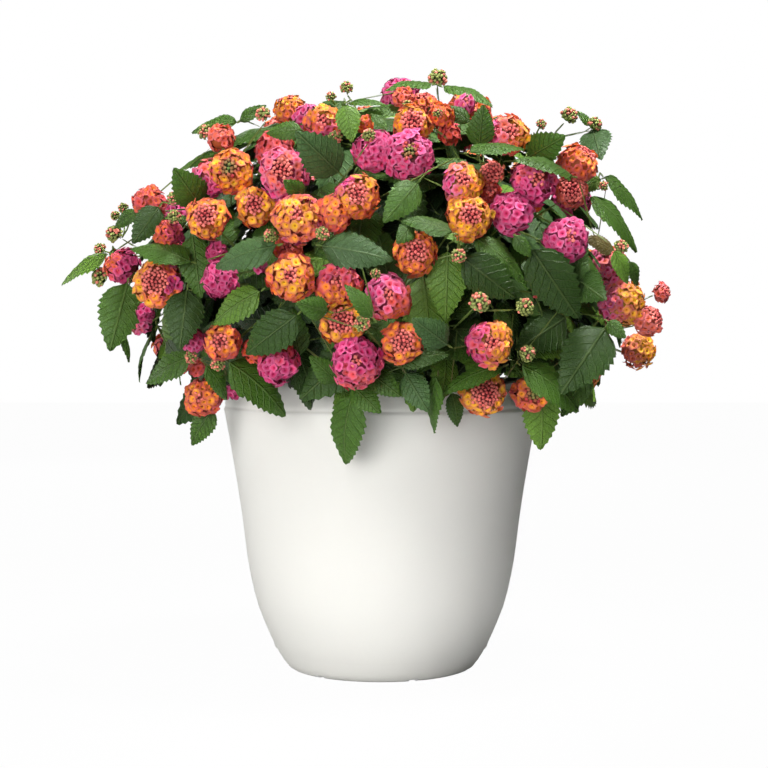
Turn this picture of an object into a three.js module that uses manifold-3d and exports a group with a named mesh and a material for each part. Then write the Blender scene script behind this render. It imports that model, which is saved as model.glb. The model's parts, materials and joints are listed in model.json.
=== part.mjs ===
// A potted lantana: a plastic planter filled with soil, ten leafy stems that fill out a round
// canopy, and the flower heads on their stalks. Millimetres, +Z up, the origin at the centre of the
// pot's base, the side the plant is grown to be seen from towards -Y.
import * as THREE from 'three';
import { mergeVertices } from 'three/addons/utils/BufferGeometryUtils.js';
import Module from 'manifold-3d';

const wasm = await Module();
wasm.setup();

// ---------------------------------------------------------------- driving dimensions

const POT = {
  facets: 28,
  wall: 3.2,
  floor: 4,
  heel: [9, 12], // the bevel between floor and wall inside: across, up
  drainHoles: 4,
  drainHoleRadius: 6,
  drainHoleCircle: 45,
  drainHoleSides: 8,
  notches: 6,
  notchFirst: 20, // degrees from the front, to the right
  notchWidth: 8,
  notchHeight: 2.4,
  notchCircle: 84,
  notchLength: 30,
};
// The outer side from the flat base up to the lip: radius, height.
const POT_SIDE = [
  [79, 0], [84.2, 3], [97, 23.5], [110.6, 56], [121.9, 111], [129.1, 164], [141.4, 233.5],
  [139.9, 236], [140.4, 238.2], [136.8, 256], [133.6, 260],
];
// Inside, the wall follows the outer side between these heights, and then runs up to the lip.
const POT_INSIDE = [30, 120];
const LIP_INSIDE = [[130.4, 259.2], [129.8, 254], [132.6, 236]];
const SOIL = { gap: 0.3, edgeHeight: 240, edgeRadius: 131.6, crown: 4, shoulder: [0.55, 0.8] };
const STEM = {
  radius: 4.6,
  tipRadius: 2.4,
  sides: 6,
  segments: 5,
  holeDepth: 26,
  holeGap: 0.35,
  holeSides: 8,
  upright: 4, // how far it stands straight up from the soil
  bend: 0.42,
  reach: 125, // from the hub to the stem's tip
};
const SHOOT = { radius: 1.3, tipRadius: 1.45, sides: 3, segments: 3 };
const SMALL_STALK = { radius: 1.1, tipRadius: 1.25, budRadius: 1, segments: 2 };
const PETIOLE = { halfWidth: 0.95, depth: 1.5, neck: 6, rootShare: 0.6 };
const BLADE = { thickness: 1.5, edge: 0.8, arch: 0.1, fold: 0.16, widthShare: 0.6, longest: 84 };
const GAP = 0.3; // between pieces that touch
const CLEAR = 0.45; // what a piece keeps from its neighbours while it is placed

// The canopy is a round form about the pot's axis: height, radius.
const CANOPY = [
  [150, 150], [190, 156], [215, 166], [240, 183], [270, 215], [300, 246], [350, 257], [400, 246],
  [450, 218], [480, 192], [494, 174], [510, 142], [525, 92], [534, 30], [560, 5],
];
const HUB = new THREE.Vector3(0, 0, 300); // where the shoots spread from
const CANOPY_REACH = [60, 240]; // the least and the most from the hub to the canopy's face

// Items are surveyed from a standpoint in front: across and up are where the sight line to an item
// crosses the upright plane through the pot's axis, and its depth follows from the canopy.
const STANDPOINT = { distance: 1600, height: 302.5 };
const SETTLE = { passes: 24, step: 0.5 }; // how a depth on the canopy's face is found

// ---------------------------------------------------------------- the plant, item by item

// Open flower heads: across, up, radius, depth behind the canopy's face, colour, and for a head that
// doesn't face out of the canopy, the way it faces.
const HEADS = {
  h01: [-156, 405, 19.0, 0, 'orange'],
  h03: [-209, 418, 15.4, 0, 'coral', [-0.7, -0.3, 0.6]],
  h05: [-153, 442, 16.3, 8, 'coral'],
  h06: [-135, 447, 19.9, 0, 'orange'],
  h07: [-200, 346, 22.6, 0, 'orange'],
  h08: [-233, 362, 16.3, 22, 'magenta', [-0.8, 0.3, 0.4]],
  h11: [-145, 349, 16.3, 10, 'magenta'],
  h12: [-143, 293, 16.3, 0, 'orange'],
  h15: [-161, 243, 17.2, 0, 'orange'],
  h17: [-87, 445, 23.2, 0, 'coral'],
  h18: [-113, 415, 17.6, 20, 'orange'],
  h19: [-96, 467, 17.2, 48, 'coral', [0, 0.4, 0.9]],
  h20: [-75, 405, 22.6, 0, 'yellow'],
  h21: [-42, 410, 17.4, 3, 'orange'],
  h22: [-21, 424, 19.9, 0, 'orange'],
  h23: [-52, 489, 16.3, 0, 'orange'],
  h24: [-6, 465, 19.0, 12, 'magenta'],
  h25: [25, 461, 22.6, 0, 'magenta'],
  h26: [28, 489, 17.2, 16, 'yellow'],
  h31: [115, 479, 18.1, 0, 'yellow'],
  h32: [73, 436, 18.1, 6, 'yellow'],
  h33: [79, 405, 20.8, 0, 'orange'],
  h36: [118, 410, 19.0, 0, 'magenta'],
  h37: [138, 437, 19.9, 6, 'magenta'],
  h39: [171, 429, 14.6, 0, 'coral'],
  h40: [177, 453, 18.2, 2, 'orange', [0.5, -0.3, 0.7]],
  h41: [167, 386, 19.9, 0, 'magenta'],
  h42: [-81, 352, 21.7, 0, 'yellow'],
  h43: [-83, 378, 13.5, 40, 'orange'],
  h45: [-38, 346, 20.8, 6, 'coral'],
  h46: [6, 334, 21.7, 0, 'magenta'],
  h47: [-35, 311, 19.9, 6, 'orange'],
  h48: [-22, 275, 23.5, 0, 'magenta'],
  h49: [19, 293, 19.0, 0, 'yellow'],
  h50: [-93, 274, 19.0, 0, 'magenta'],
  h52: [31, 373, 19.9, 8, 'orange'],
  h53: [98, 292, 20.8, 0, 'coral'],
  h54: [92, 247, 20.8, 0, 'yellow'],
  h55: [135, 247, 16.3, 6, 'orange'],
  h57: [218, 328, 20.8, 0, 'yellow'],
  h58: [232, 286, 15.4, 0, 'yellow', [0.8, -0.3, 0.2]],
  h59: [241, 313, 13.2, 0, 'coral', [0.7, -0.4, 0.3]],
};
// Heads that touch grow into one cluster.
const CLUSTERS = [
  ['h05', 'h06'], ['h20', 'h21', 'h22'], ['h24', 'h25', 'h26'], ['h32', 'h33'], ['h36', 'h37'],
  ['h39', 'h40'], ['h45', 'h47', 'h48'], ['h57', 'h59'],
];
// Small heads, joined to their stem: across, up, radius, depth, and facing where it isn't outward.
const SMALL_HEADS = [
  [-191, 391, 12.6, 6], [-144, 477, 12.6, 6, [0.2, 0.5, 0.8]], [-213, 320, 8.1, 10, [-0.3, -0.2, -0.9]],
  [-148, 374, 9.9, 25], [-169, 295, 10.8, 8], [-166, 270, 7.2, 20], [-133, 249, 7.2, 12],
  [20, 513, 9.9, 0, [0, -0.2, 1]], [54, 496, 11.7, 8, [0.3, 0.3, 0.9]], [62, 481, 9.9, 22, [0.2, 0.6, 0.7]],
  [76, 507, 8.1, 10], [100, 446, 10.8, 12], [98, 429, 9.9, 25], [138, 417, 5.4, 24],
  [-110, 364, 7.2, 15], [-114, 286, 10.8, 22], [142, 342, 7.2, 40], [253, 338, 8.1, 0, [0.9, 0, 0.3]],
  [-14, 489, 7.2, 15],
];
// Bud heads, green and tight, joined to their stem: across, up, radius, depth.
const BUDS = [
  [-240, 391, 7.2, 0], [-253, 352, 8.1, 0], [-186, 406, 5.9, 0], [-158, 482, 6.3, 0],
  [-106, 498, 6.3, 0], [-31, 522, 5.4, 0], [-41, 477, 5.9, 0], [-11, 479, 5.9, 0], [51, 530, 8.1, 0],
  [169, 497, 7.2, 0], [192, 489, 6.3, 0], [184, 451, 6.3, 0], [216, 379, 6.3, 0], [3, 326, 6.3, 24],
  [-17, 310, 6.8, 0], [70, 371, 6.3, 0], [89, 329, 8.6, 0], [130, 325, 7.7, 0], [132, 283, 7.2, 0],
  [-171, 280, 5.9, 0], [-147, 274, 6.3, 0], [-100, 389, 5.9, 0], [-53, 391, 5.9, 0],
];
// Leaves: the blade's base across and up, its tip across and up, its width as seen, and its depth.
const LEAVES = [
  [-246, 372, -288, 344, 11, 0], [-220, 411, -240, 396, 13, 0],
  [-200, 415, -224, 382, 25, 8], [-172, 366, -226, 377, 20, 4], [-174, 402, -204, 398, 14, 8],
  [-163, 417, -187, 450, 31, 12], [-131, 463, -181, 448, 13, 4], [-130, 492, -170, 481, 12, 4],
  [-170, 389, -163, 332, 30, 8], [-175, 340, -182, 286, 34, 8],
  [-229, 346, -245, 285, 39, 8], [-172, 280, -212, 256, 22, 0], [-109, 339, -151, 309, 25, 0],
  [-94, 380, -149, 360, 24, 4], [-38, 446, -77, 483, 36, 12],
  [-71, 484, -103, 481, 16, 8], [-32, 509, -73, 488, 14, 4], [-32, 507, -26, 473, 21, -14],
  [23, 501, -19, 497, 10, 8], [45, 525, 3, 518, 8, 0], [56, 523, 100, 505, 9, 0],
  [80, 492, 54, 505, 14, 12], [88, 469, 92, 507, 24, 12], [45, 500, 68, 449, 17, 12],
  [80, 464, 129, 466, 9, -8], [101, 494, 134, 484, 7, 0], [133, 460, 166, 479, 31, 12],
  [172, 443, 119, 456, 8, -6], [191, 484, 198, 457, 31, 4], [201, 442, 235, 403, 13, 0],
  [189, 424, 230, 374, 14, 4], [209, 376, 182, 387, 14, 4], [210, 375, 222, 346, 14, 4],
  [198, 440, 173, 431, 16, 8], [33, 437, 2, 401, 27, 4],
  [64, 392, 18, 402, 14, -4], [-53, 380, 11, 367, 30, 2],
  [60, 375, 58, 313, 34, -6], [85, 387, 127, 349, 20, 4], [74, 369, 121, 333, 34, 6],
  [98, 415, 122, 383, 15, 16], [136, 377, 178, 315, 41, 6], [178, 349, 203, 331, 32, 12],
  [175, 345, 186, 384, 16, 12], [166, 315, 122, 286, 41, 8], [102, 323, 120, 294, 12, 20],
  [202, 306, 162, 246, 45, 2], [189, 264, 163, 226, 23, 12], 
  [127, 272, 178, 230, 25, -8], [144, 256, 144, 196, 34, 0], [109, 271, 56, 246, 16, -10],
  [64, 247, 69, 217, 16, 8], [51, 262, 49, 211, 14, 0], [22, 265, 43, 230, 25, 8],
  [-10, 266, 18, 244, 22, 4], [-26, 254, 0, 229, 23, 4], [-26, 245, -31, 183, 29, 4],
  [-36, 256, -31, 208, 22, -10], [-39, 257, -65, 281, 20, 10], [-77, 288, -64, 232, 25, 10],
  [-137, 275, -87, 226, 30, -4], [-76, 318, -122, 283, 34, 4], [-48, 321, -77, 329, 20, 8],
  [-9, 308, 27, 285, 13, -14], [-8, 316, -33, 345, 15, -12], [-158, 272, -140, 241, 15, -4],
  [-151, 234, -171, 200, 22, 6], [60, 291, 28, 315, 27, 12], [17, 275, 62, 282, 18, 6],
];
// The sides, the back and the top, which no sight line reaches, are filled along an even spiral.
// Its places are taken a stride apart: the first ones get open heads of their own, the others small
// heads joined to their stem, and every head gets leaves under it.
const SPIRAL = {
  places: 89,
  stride: 34,
  golden: 137.508,
  lowest: -12,
  highest: 88,
  surveyed: 80, // the survey covers this much to each side of the front,
  surveyedBelow: 52, // up to this elevation
  canopyShare: 0.93,
  heads: 17,
  smallHeads: 16,
  radius: 18,
  smallRadius: 12.5,
  spacing: 62,
  colours: ['orange', 'magenta', 'yellow', 'coral'],
  sizes: [0.9, 1.15],
  leaves: 2,
  leafLength: 64,
};
const RING = {
  apart: 160, // degrees
  length: [0.8, 1.25],
  rise: 0.1,
  droop: new THREE.Vector3(0, 0, -0.3),
  below: 10,
  step: 5,
  out: 0.45,
};
// Leaves between the heads, evenly over the whole canopy. Each lies in its surface, at a share of
// its reach, and its tip points down or at a turn from there.
const SPREAD = {
  places: 18,
  shares: [0.84, 0.9, 0.78, 0.72],
  turns: [0, 45, -45, 90, -90, 135],
  length: 72,
  middle: 0.4, // how far along the leaf its place is
  least: 15,
};
// Stems: ten, in three tiers. Each has its azimuth from the front, its elevation and its place
// on the soil.
const TIERS = [
  { count: 6, first: 30, elevation: 10, circle: 70 },
  { count: 3, first: 0, elevation: 48, circle: 34 },
  { count: 1, first: 180, elevation: 80, circle: 8 },
];

const COLOURS = {
  pot: { color: 0xe9e8e2, roughness: 0.55 },
  soil: { color: 0x35281e, roughness: 0.95 },
  leaf: { color: 0x3f6f30, roughness: 0.6 },
  yellow: { color: 0xf6b83a, roughness: 0.7 },
  orange: { color: 0xee8b45, roughness: 0.7 },
  coral: { color: 0xe66a66, roughness: 0.7 },
  magenta: { color: 0xcf3a86, roughness: 0.7 },
};

// ---------------------------------------------------------------- small helpers

const vec = (x, y, z) => new THREE.Vector3(x, y, z);
const radians = THREE.MathUtils.degToRad;

// A repeatable number from 0 to 1 for a seed.
function chance(seed) {
  const wave = Math.sin(seed * 12.9898 + 4.1) * 43758.5453;
  return wave - Math.floor(wave);
}

// The value at x on a line through points [x, y].
function along(points, x) {
  const last = points.length - 1;
  if (x <= points[0][0]) return points[0][1];
  if (x >= points[last][0]) return points[last][1];
  const next = points.findIndex((point) => point[0] > x);
  const [x0, y0] = points[next - 1];
  const [x1, y1] = points[next];
  return y0 + ((y1 - y0) * (x - x0)) / (x1 - x0);
}

const canopyRadius = (z) => along(CANOPY, z);
const potRadius = (z) => along(POT_SIDE.map(([radius, height]) => [height, radius]), z);

// The point at depth y on the sight line through (across, up).
function onSight(across, up, y) {
  const scale = (STANDPOINT.distance + y) / STANDPOINT.distance;
  return vec(across * scale, y, STANDPOINT.height + (up - STANDPOINT.height) * scale);
}

// The depth at which a sight line meets the canopy's face.
function canopyDepth(across, up) {
  let y = 0;
  for (let pass = 0; pass < SETTLE.passes; pass += 1) {
    const point = onSight(across, up, y);
    const reach = canopyRadius(point.z);
    y += SETTLE.step * (-Math.sqrt(Math.max(reach * reach - point.x * point.x, 0)) - y);
  }
  return y;
}

// A direction from its azimuth (from the front, to the right) and its elevation, in degrees.
function heading(azimuth, elevation) {
  const level = Math.cos(radians(elevation));
  return vec(
    Math.sin(radians(azimuth)) * level,
    -Math.cos(radians(azimuth)) * level,
    Math.sin(radians(elevation)),
  );
}

// The way a head at a place faces: out of the canopy, and a little up.
const HEAD_LIFT = vec(0, 0, 0.25);
function outward(place) {
  return place.clone().sub(HUB).normalize().add(HEAD_LIFT).normalize();
}

// A unit vector square to a direction, level where it can be.
const UPRIGHT = 0.05;
function squareTo(direction) {
  const level = vec(-direction.y, direction.x, 0);
  if (level.length() < UPRIGHT) level.set(1, 0, 0);
  return level.addScaledVector(direction, -level.dot(direction)).normalize();
}

// A manifold solid from points and faces, whichever way round the faces run.
function solidOf(points, faces) {
  let sixVolumes = 0;
  for (const [a, b, c] of faces) sixVolumes += points[a].dot(points[b].clone().cross(points[c]));
  const turned = sixVolumes < 0 ? faces.map(([a, b, c]) => [a, c, b]) : faces;
  return new wasm.Manifold(new wasm.Mesh({
    numProp: 3,
    vertProperties: new Float32Array(points.flatMap((point) => point.toArray())),
    triVerts: new Uint32Array(turned.flat()),
  }));
}

// A manifold solid from a three.js geometry.
const WELD = 1e-4;
function solidOfGeometry(geometry) {
  const bare = geometry.index ? geometry.toNonIndexed() : geometry.clone();
  bare.deleteAttribute('normal');
  bare.deleteAttribute('uv');
  const merged = mergeVertices(bare, WELD);
  return new wasm.Manifold(new wasm.Mesh({
    numProp: 3,
    vertProperties: merged.attributes.position.array,
    triVerts: new Uint32Array(merged.index.array),
  }));
}

// ---------------------------------------------------------------- tubes, heads and leaves as meshes

// Points along a curve that leaves `start` along `lead` and reaches `end` along `arrive`.
function route(start, lead, end, arrive, bend, segments) {
  const reach = start.distanceTo(end) * bend;
  const curve = new THREE.CubicBezierCurve3(
    start,
    start.clone().addScaledVector(lead, reach),
    end.clone().addScaledVector(arrive, -reach),
    end,
  );
  return curve.getPoints(segments);
}

// A tapered tube along a path, its corners carried along without a twist.
const FIRST_CORNER = 0.25; // share of a side
function tube(path, radii, sides, grow = 0) {
  let side = squareTo(path[1].clone().sub(path[0]).normalize());
  const points = [];
  const faces = [];
  path.forEach((centre, ring) => {
    const from = path[Math.max(ring - 1, 0)];
    const to = path[Math.min(ring + 1, path.length - 1)];
    const tangent = to.clone().sub(from).normalize();
    side = side.clone().addScaledVector(tangent, -side.dot(tangent)).normalize();
    const up = tangent.clone().cross(side);
    for (let k = 0; k < sides; k += 1) {
      const angle = (2 * Math.PI * (k + FIRST_CORNER)) / sides;
      points.push(centre.clone()
        .addScaledVector(side, Math.cos(angle) * (radii[ring] + grow))
        .addScaledVector(up, Math.sin(angle) * (radii[ring] + grow)));
    }
  });
  for (let ring = 0; ring + 1 < path.length; ring += 1) {
    for (let k = 0; k < sides; k += 1) {
      const a = ring * sides + k;
      const b = ring * sides + ((k + 1) % sides);
      faces.push([a, b, b + sides], [a, b + sides, a + sides]);
    }
  }
  const last = (path.length - 1) * sides;
  for (let k = 1; k + 1 < sides; k += 1) {
    faces.push([0, k + 1, k], [last, last + k, last + k + 1]);
  }
  return { points, faces };
}

// A head is a dome of florets. Each floret is a dimple, its throat, ringed by lobes that it shares
// with its neighbours, and small gaps lie between the lobes.
const THROAT = 0.9;
const LOBE = 1.0;
const CLEFT = 0.84;

function domePoint(frame, latitude, longitude, share) {
  const level = Math.cos(radians(latitude));
  return frame.centre.clone()
    .addScaledVector(frame.side, Math.cos(radians(longitude)) * level * share * frame.radius)
    .addScaledVector(frame.other, Math.sin(radians(longitude)) * level * share * frame.radius)
    .addScaledVector(frame.facing, Math.sin(radians(latitude)) * share * frame.radius);
}

function headFrame(centre, facing, radius, spin) {
  const level = squareTo(facing);
  const side = level.clone().applyAxisAngle(facing, spin);
  return { centre, facing, radius, side, other: facing.clone().cross(side) };
}

// The six triangles between three throats, their three shared lobes and the cleft in the middle.
function floretFaces(a, b, c, ab, bc, ca, cleft) {
  return [
    [a, ab, ca], [b, bc, ab], [c, ca, bc], [cleft, ab, bc], [cleft, bc, ca], [cleft, ca, ab],
  ];
}

// A dome with one floret on top and a ring of `count` round it.
const ONE_RING = { throat: 30, topLobe: 60, sideLobe: 27, cleft: 46, base: -24 };
function smallDome(frame, count) {
  const step = 360 / count;
  const points = [domePoint(frame, 90, 0, THROAT)];
  const faces = [];
  for (let i = 0; i < count; i += 1) {
    points.push(
      domePoint(frame, ONE_RING.throat, i * step, THROAT),
      domePoint(frame, ONE_RING.topLobe, i * step, LOBE),
      domePoint(frame, ONE_RING.sideLobe, (i + 0.5) * step, LOBE),
      domePoint(frame, ONE_RING.cleft, (i + 0.5) * step, CLEFT),
      domePoint(frame, ONE_RING.base, i * step, LOBE),
    );
  }
  const at = (i, kind) => 1 + ((i + count) % count) * 5 + kind;
  for (let i = 0; i < count; i += 1) {
    const [throat, top, side, cleft, base] = [0, 1, 2, 3, 4].map((kind) => at(i, kind));
    faces.push(...floretFaces(0, throat, at(i + 1, 0), top, side, at(i + 1, 1), cleft));
    faces.push([throat, base, side], [throat, at(i - 1, 2), base], [side, base, at(i + 1, 4)]);
    if (i > 0 && i + 1 < count) faces.push([at(0, 4), at(i + 1, 4), base]);
  }
  return { points, faces };
}

// A dome with one floret on top, five round it and five more below, set between them.
const TWO_RINGS = {
  throat: 46, lowThroat: 5, topLobe: 70, sideLobe: 50, cleft: 64, slopeLobe: 27, slopeCleft: 32,
  lowLobe: 7, lowCleft: 18, base: -30,
};
function bigDome(frame) {
  const count = 5;
  const step = 360 / count;
  const rings = TWO_RINGS;
  const points = [domePoint(frame, 90, 0, THROAT)];
  const faces = [];
  for (let i = 0; i < count; i += 1) {
    const here = i * step;
    points.push(
      domePoint(frame, rings.throat, here, THROAT),
      domePoint(frame, rings.topLobe, here, LOBE),
      domePoint(frame, rings.sideLobe, here + step / 2, LOBE),
      domePoint(frame, rings.cleft, here + step / 2, CLEFT),
      domePoint(frame, rings.lowThroat, here + step / 2, THROAT),
      domePoint(frame, rings.slopeLobe, here + step / 4, LOBE),
      domePoint(frame, rings.slopeLobe, here + (3 * step) / 4, LOBE),
      domePoint(frame, rings.slopeCleft, here + step / 2, CLEFT),
      domePoint(frame, rings.lowLobe, here, LOBE),
      domePoint(frame, rings.lowCleft, here, CLEFT),
      domePoint(frame, rings.base, here + step / 2, LOBE),
    );
  }
  const at = (i, kind) => 1 + ((i + count) % count) * 11 + kind;
  for (let i = 0; i < count; i += 1) {
    const [throat, top, side, cleft, low, slopeA, slopeB, slopeCleft, lowLobe, lowCleft, base] =
      Array.from({ length: 11 }, (_, kind) => at(i, kind));
    faces.push(...floretFaces(0, throat, at(i + 1, 0), top, side, at(i + 1, 1), cleft));
    faces.push(...floretFaces(throat, low, at(i + 1, 0), slopeA, slopeB, side, slopeCleft));
    faces.push(...floretFaces(throat, at(i - 1, 4), low, at(i - 1, 6), lowLobe, slopeA, lowCleft));
    faces.push([low, lowLobe, base], [low, base, at(i + 1, 8)], [lowLobe, at(i - 1, 10), base]);
    if (i > 0 && i + 1 < count) faces.push([at(0, 10), at(i + 1, 10), base]);
  }
  return { points, faces };
}

const BIG_HEAD = 19.2; // a head of this radius or more has the second ring
const MIDDLE_HEAD = 13;
function headShell(frame) {
  if (frame.radius >= BIG_HEAD) return bigDome(frame);
  return smallDome(frame, frame.radius >= MIDDLE_HEAD ? 6 : 4);
}
// How far below its centre a head's flat underside lies.
function headDrop(radius) {
  const latitude = radius >= BIG_HEAD ? TWO_RINGS.base : ONE_RING.base;
  return -Math.sin(radians(latitude)) * LOBE * radius;
}

// A bud head: a blunt cone of tight buds, knobbly round its shoulder.
const BUD = { knobs: 4, shoulder: 22, high: 1.0, low: 0.78, base: -45, baseShare: 0.8 };
function budShell(frame) {
  const ring = BUD.knobs * 2;
  const points = [domePoint(frame, 90, 0, 1)];
  const faces = [];
  for (let i = 0; i < ring; i += 1) {
    const share = i % 2 ? BUD.low : BUD.high;
    points.push(domePoint(frame, BUD.shoulder, (360 * i) / ring, share));
  }
  for (let i = 0; i < BUD.knobs; i += 1) {
    points.push(domePoint(frame, BUD.base, (360 * i) / BUD.knobs, BUD.baseShare));
  }
  for (let i = 0; i < BUD.knobs; i += 1) {
    const high = 1 + 2 * i;
    const low = high + 1;
    const next = 1 + ((2 * i + 2) % ring);
    const foot = 1 + ring + i;
    const nextFoot = 1 + ring + ((i + 1) % BUD.knobs);
    faces.push([0, high, low], [0, low, next]);
    faces.push([high, foot, low], [low, foot, nextFoot], [low, nextFoot, next]);
    if (i > 0 && i + 1 < BUD.knobs) faces.push([1 + ring, nextFoot, foot]);
  }
  return { points, faces };
}

// The blade's edge from base to tip: share of its length, share of its half width. Odd points are
// teeth, even points lie between them.
const EDGES = {
  long: [[0.09, 0.6], [0.31, 1.0], [0.37, 0.85], [0.58, 0.84], [0.64, 0.65], [0.83, 0.46]],
  middle: [[0.1, 0.62], [0.36, 1.0], [0.44, 0.82], [0.72, 0.66]],
  short: [[0.12, 0.66], [0.46, 1.0], [0.55, 0.78]],
};
const LONG_BLADE = 74;
const SHORT_BLADE = 36;
const RIBS = { long: [0.34, 0.68], middle: [0.5], short: [0.5] };

function kindOf(length) {
  if (length >= LONG_BLADE) return 'long';
  return length >= SHORT_BLADE ? 'middle' : 'short';
}

// A leaf with its petiole: an arched blade, thin at its teeth, folded along the rib, from the
// blade's base to its tip, and a three-sided petiole back to the shoot that carries it.
function leafShell(leaf, root, grow = 0) {
  const chord = leaf.tip.clone().sub(leaf.base);
  const length = chord.length();
  const axis = chord.clone().normalize();
  const normal = leaf.normal;
  const side = normal.clone().cross(axis).normalize();
  const half = leaf.width / 2;
  const points = [];
  const faces = [];
  const add = (point) => points.push(point) - 1;
  const bladePoint = (s, v, lift) => leaf.base.clone()
    .addScaledVector(axis, s * length + (s === 1 ? grow : 0))
    .addScaledVector(side, v * half + Math.sign(v) * grow)
    .addScaledVector(normal, 4 * BLADE.arch * length * s * (1 - s) - BLADE.fold * Math.abs(v) * half
      + lift);
  const tip = add(bladePoint(1, 0, 0));
  const corner = PETIOLE.halfWidth / half;
  const corners = [add(bladePoint(0, -corner, 0)), add(bladePoint(0, corner, 0))];
  const keel = add(bladePoint(0, 0, -PETIOLE.depth - grow));
  const ribs = RIBS[kindOf(length)];
  const ribTop = ribs.map((s) => add(bladePoint(s, 0, BLADE.thickness / 2 + grow)));
  const ribBottom = ribs.map((s) => add(bladePoint(s, 0, -BLADE.thickness / 2 - grow)));
  faces.push([corners[0], corners[1], ribTop[0]]);
  faces.push([corners[0], ribBottom[0], keel], [keel, ribBottom[0], corners[1]]);
  [-1, 1].forEach((hand, which) => {
    const edge = EDGES[kindOf(length)].map(([s, v], k) => {
      if (k % 2) {
        const tooth = add(bladePoint(s, v * hand, 0));
        return { s, top: tooth, bottom: tooth };
      }
      return {
        s,
        top: add(bladePoint(s, v * hand, BLADE.edge / 2 + grow)),
        bottom: add(bladePoint(s, v * hand, -BLADE.edge / 2 - grow)),
      };
    });
    const outline = [{ s: 0, top: corners[which], bottom: corners[which] }, ...edge,
      { s: 1, top: tip, bottom: tip }];
    const rib = [...ribs.map((s, k) => ({ s, top: ribTop[k], bottom: ribBottom[k] })),
      { s: 1, top: tip, bottom: tip }];
    const push = (a, b, c) => faces.push(hand < 0 ? [a, b, c] : [a, c, b]);
    let i = 0;
    let j = 0;
    while (i + 1 < outline.length) {
      if (j + 1 < rib.length && rib[j + 1].s < outline[i + 1].s) {
        push(outline[i].top, rib[j].top, rib[j + 1].top);
        push(outline[i].bottom, rib[j + 1].bottom, rib[j].bottom);
        j += 1;
      } else {
        push(outline[i].top, rib[j].top, outline[i + 1].top);
        push(outline[i].bottom, outline[i + 1].bottom, rib[j].bottom);
        i += 1;
      }
    }
    for (let k = 0; k + 1 < outline.length; k += 1) {
      const from = outline[k];
      const to = outline[k + 1];
      if (from.top !== from.bottom) push(from.top, to.top, from.bottom);
      if (to.top !== to.bottom) push(from.bottom, to.top, to.bottom);
    }
  });
  // the petiole: behind the blade it keeps the leaf's own line for a neck, then turns to its root
  const neck = leaf.base.clone().addScaledVector(axis, -PETIOLE.neck);
  const away = root.clone().sub(neck).normalize();
  const rings = [[...corners, keel]];
  let across = side;
  const turn = axis.clone().negate().add(away).normalize();
  [[neck, turn, 1], [root, away, PETIOLE.rootShare]].forEach(([centre, run, share]) => {
    across = across.clone().addScaledVector(run, -across.dot(run)).normalize();
    const down = run.clone().cross(across);
    const wide = PETIOLE.halfWidth * share + grow;
    rings.push([
      add(centre.clone().addScaledVector(across, -wide)),
      add(centre.clone().addScaledVector(across, wide)),
      add(centre.clone().addScaledVector(down, PETIOLE.depth * share + grow)),
    ]);
  });
  for (let ring = 0; ring < 2; ring += 1) {
    for (let k = 0; k < 3; k += 1) {
      const next = (k + 1) % 3;
      faces.push([rings[ring][k], rings[ring + 1][k], rings[ring + 1][next]]);
      faces.push([rings[ring][k], rings[ring + 1][next], rings[ring][next]]);
    }
  }
  faces.push([rings[2][0], rings[2][2], rings[2][1]]);
  return { points, faces };
}

// ---------------------------------------------------------------- pot and soil

function lathe(profile) {
  const outline = profile.map(([radius, height]) => new THREE.Vector2(radius, height));
  const geometry = new THREE.LatheGeometry(outline, POT.facets);
  return solidOfGeometry(geometry.rotateX(Math.PI / 2));
}

// The inner wall's rows, from the floor up, drawn in from the outer side.
function insideRows(inset) {
  const [low, high] = POT_INSIDE;
  const floor = potRadius(POT.floor) - 2 * POT.wall - inset;
  return [
    [floor + POT.heel[0], POT.floor + POT.heel[1]],
    ...POT_SIDE.filter(([, height]) => height > low && height < high)
      .map(([radius, height]) => [radius - POT.wall - inset, height]),
  ];
}

function makePot() {
  const inside = insideRows(0);
  let pot = lathe([
    [0, 0], ...POT_SIDE, ...LIP_INSIDE, ...inside.reverse(),
    [potRadius(POT.floor) - 2 * POT.wall, POT.floor], [0, POT.floor],
  ]);
  for (let hole = 0; hole < POT.drainHoles; hole += 1) {
    const drill = new THREE.CylinderGeometry(
      POT.drainHoleRadius, POT.drainHoleRadius, 5 * POT.floor, POT.drainHoleSides,
    );
    const turn = (360 * (hole + 0.5)) / POT.drainHoles;
    const at = heading(turn, 0).multiplyScalar(POT.drainHoleCircle);
    drill.rotateX(Math.PI / 2).translate(at.x, at.y, 0);
    pot = pot.subtract(solidOfGeometry(drill));
  }
  for (let notch = 0; notch < POT.notches; notch += 1) {
    const azimuth = POT.notchFirst + (360 * notch) / POT.notches;
    const cutter = new THREE.BoxGeometry(POT.notchWidth, POT.notchLength, 2 * POT.notchHeight);
    cutter.translate(0, -POT.notchCircle, 0).rotateZ(radians(azimuth));
    pot = pot.subtract(solidOfGeometry(cutter));
  }
  return pot;
}

function makeSoil(stems) {
  const floor = POT.floor + SOIL.gap;
  const [shoulderOut, shoulderUp] = SOIL.shoulder;
  let soil = lathe([
    [0, floor], [potRadius(POT.floor) - 2 * POT.wall - SOIL.gap, floor], ...insideRows(SOIL.gap),
    [SOIL.edgeRadius, SOIL.edgeHeight],
    [SOIL.edgeRadius * shoulderOut, SOIL.edgeHeight + SOIL.crown * shoulderUp],
    [0, SOIL.edgeHeight + SOIL.crown],
  ]);
  for (const stem of stems) soil = soil.subtract(stem.hole);
  return soil;
}

// ---------------------------------------------------------------- growing the plant

const problems = []; // what found no place
const placed = []; // every solid so far: { owner, solid, box }
const skeleton = []; // the places that can carry a stalk or a petiole: { owner, lead, point }

function boxOf(points) {
  return new THREE.Box3().setFromPoints(points);
}

function place(owner, shell) {
  placed.push({ owner, solid: solidOf(shell.points, shell.faces), box: boxOf(shell.points) });
}

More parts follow.
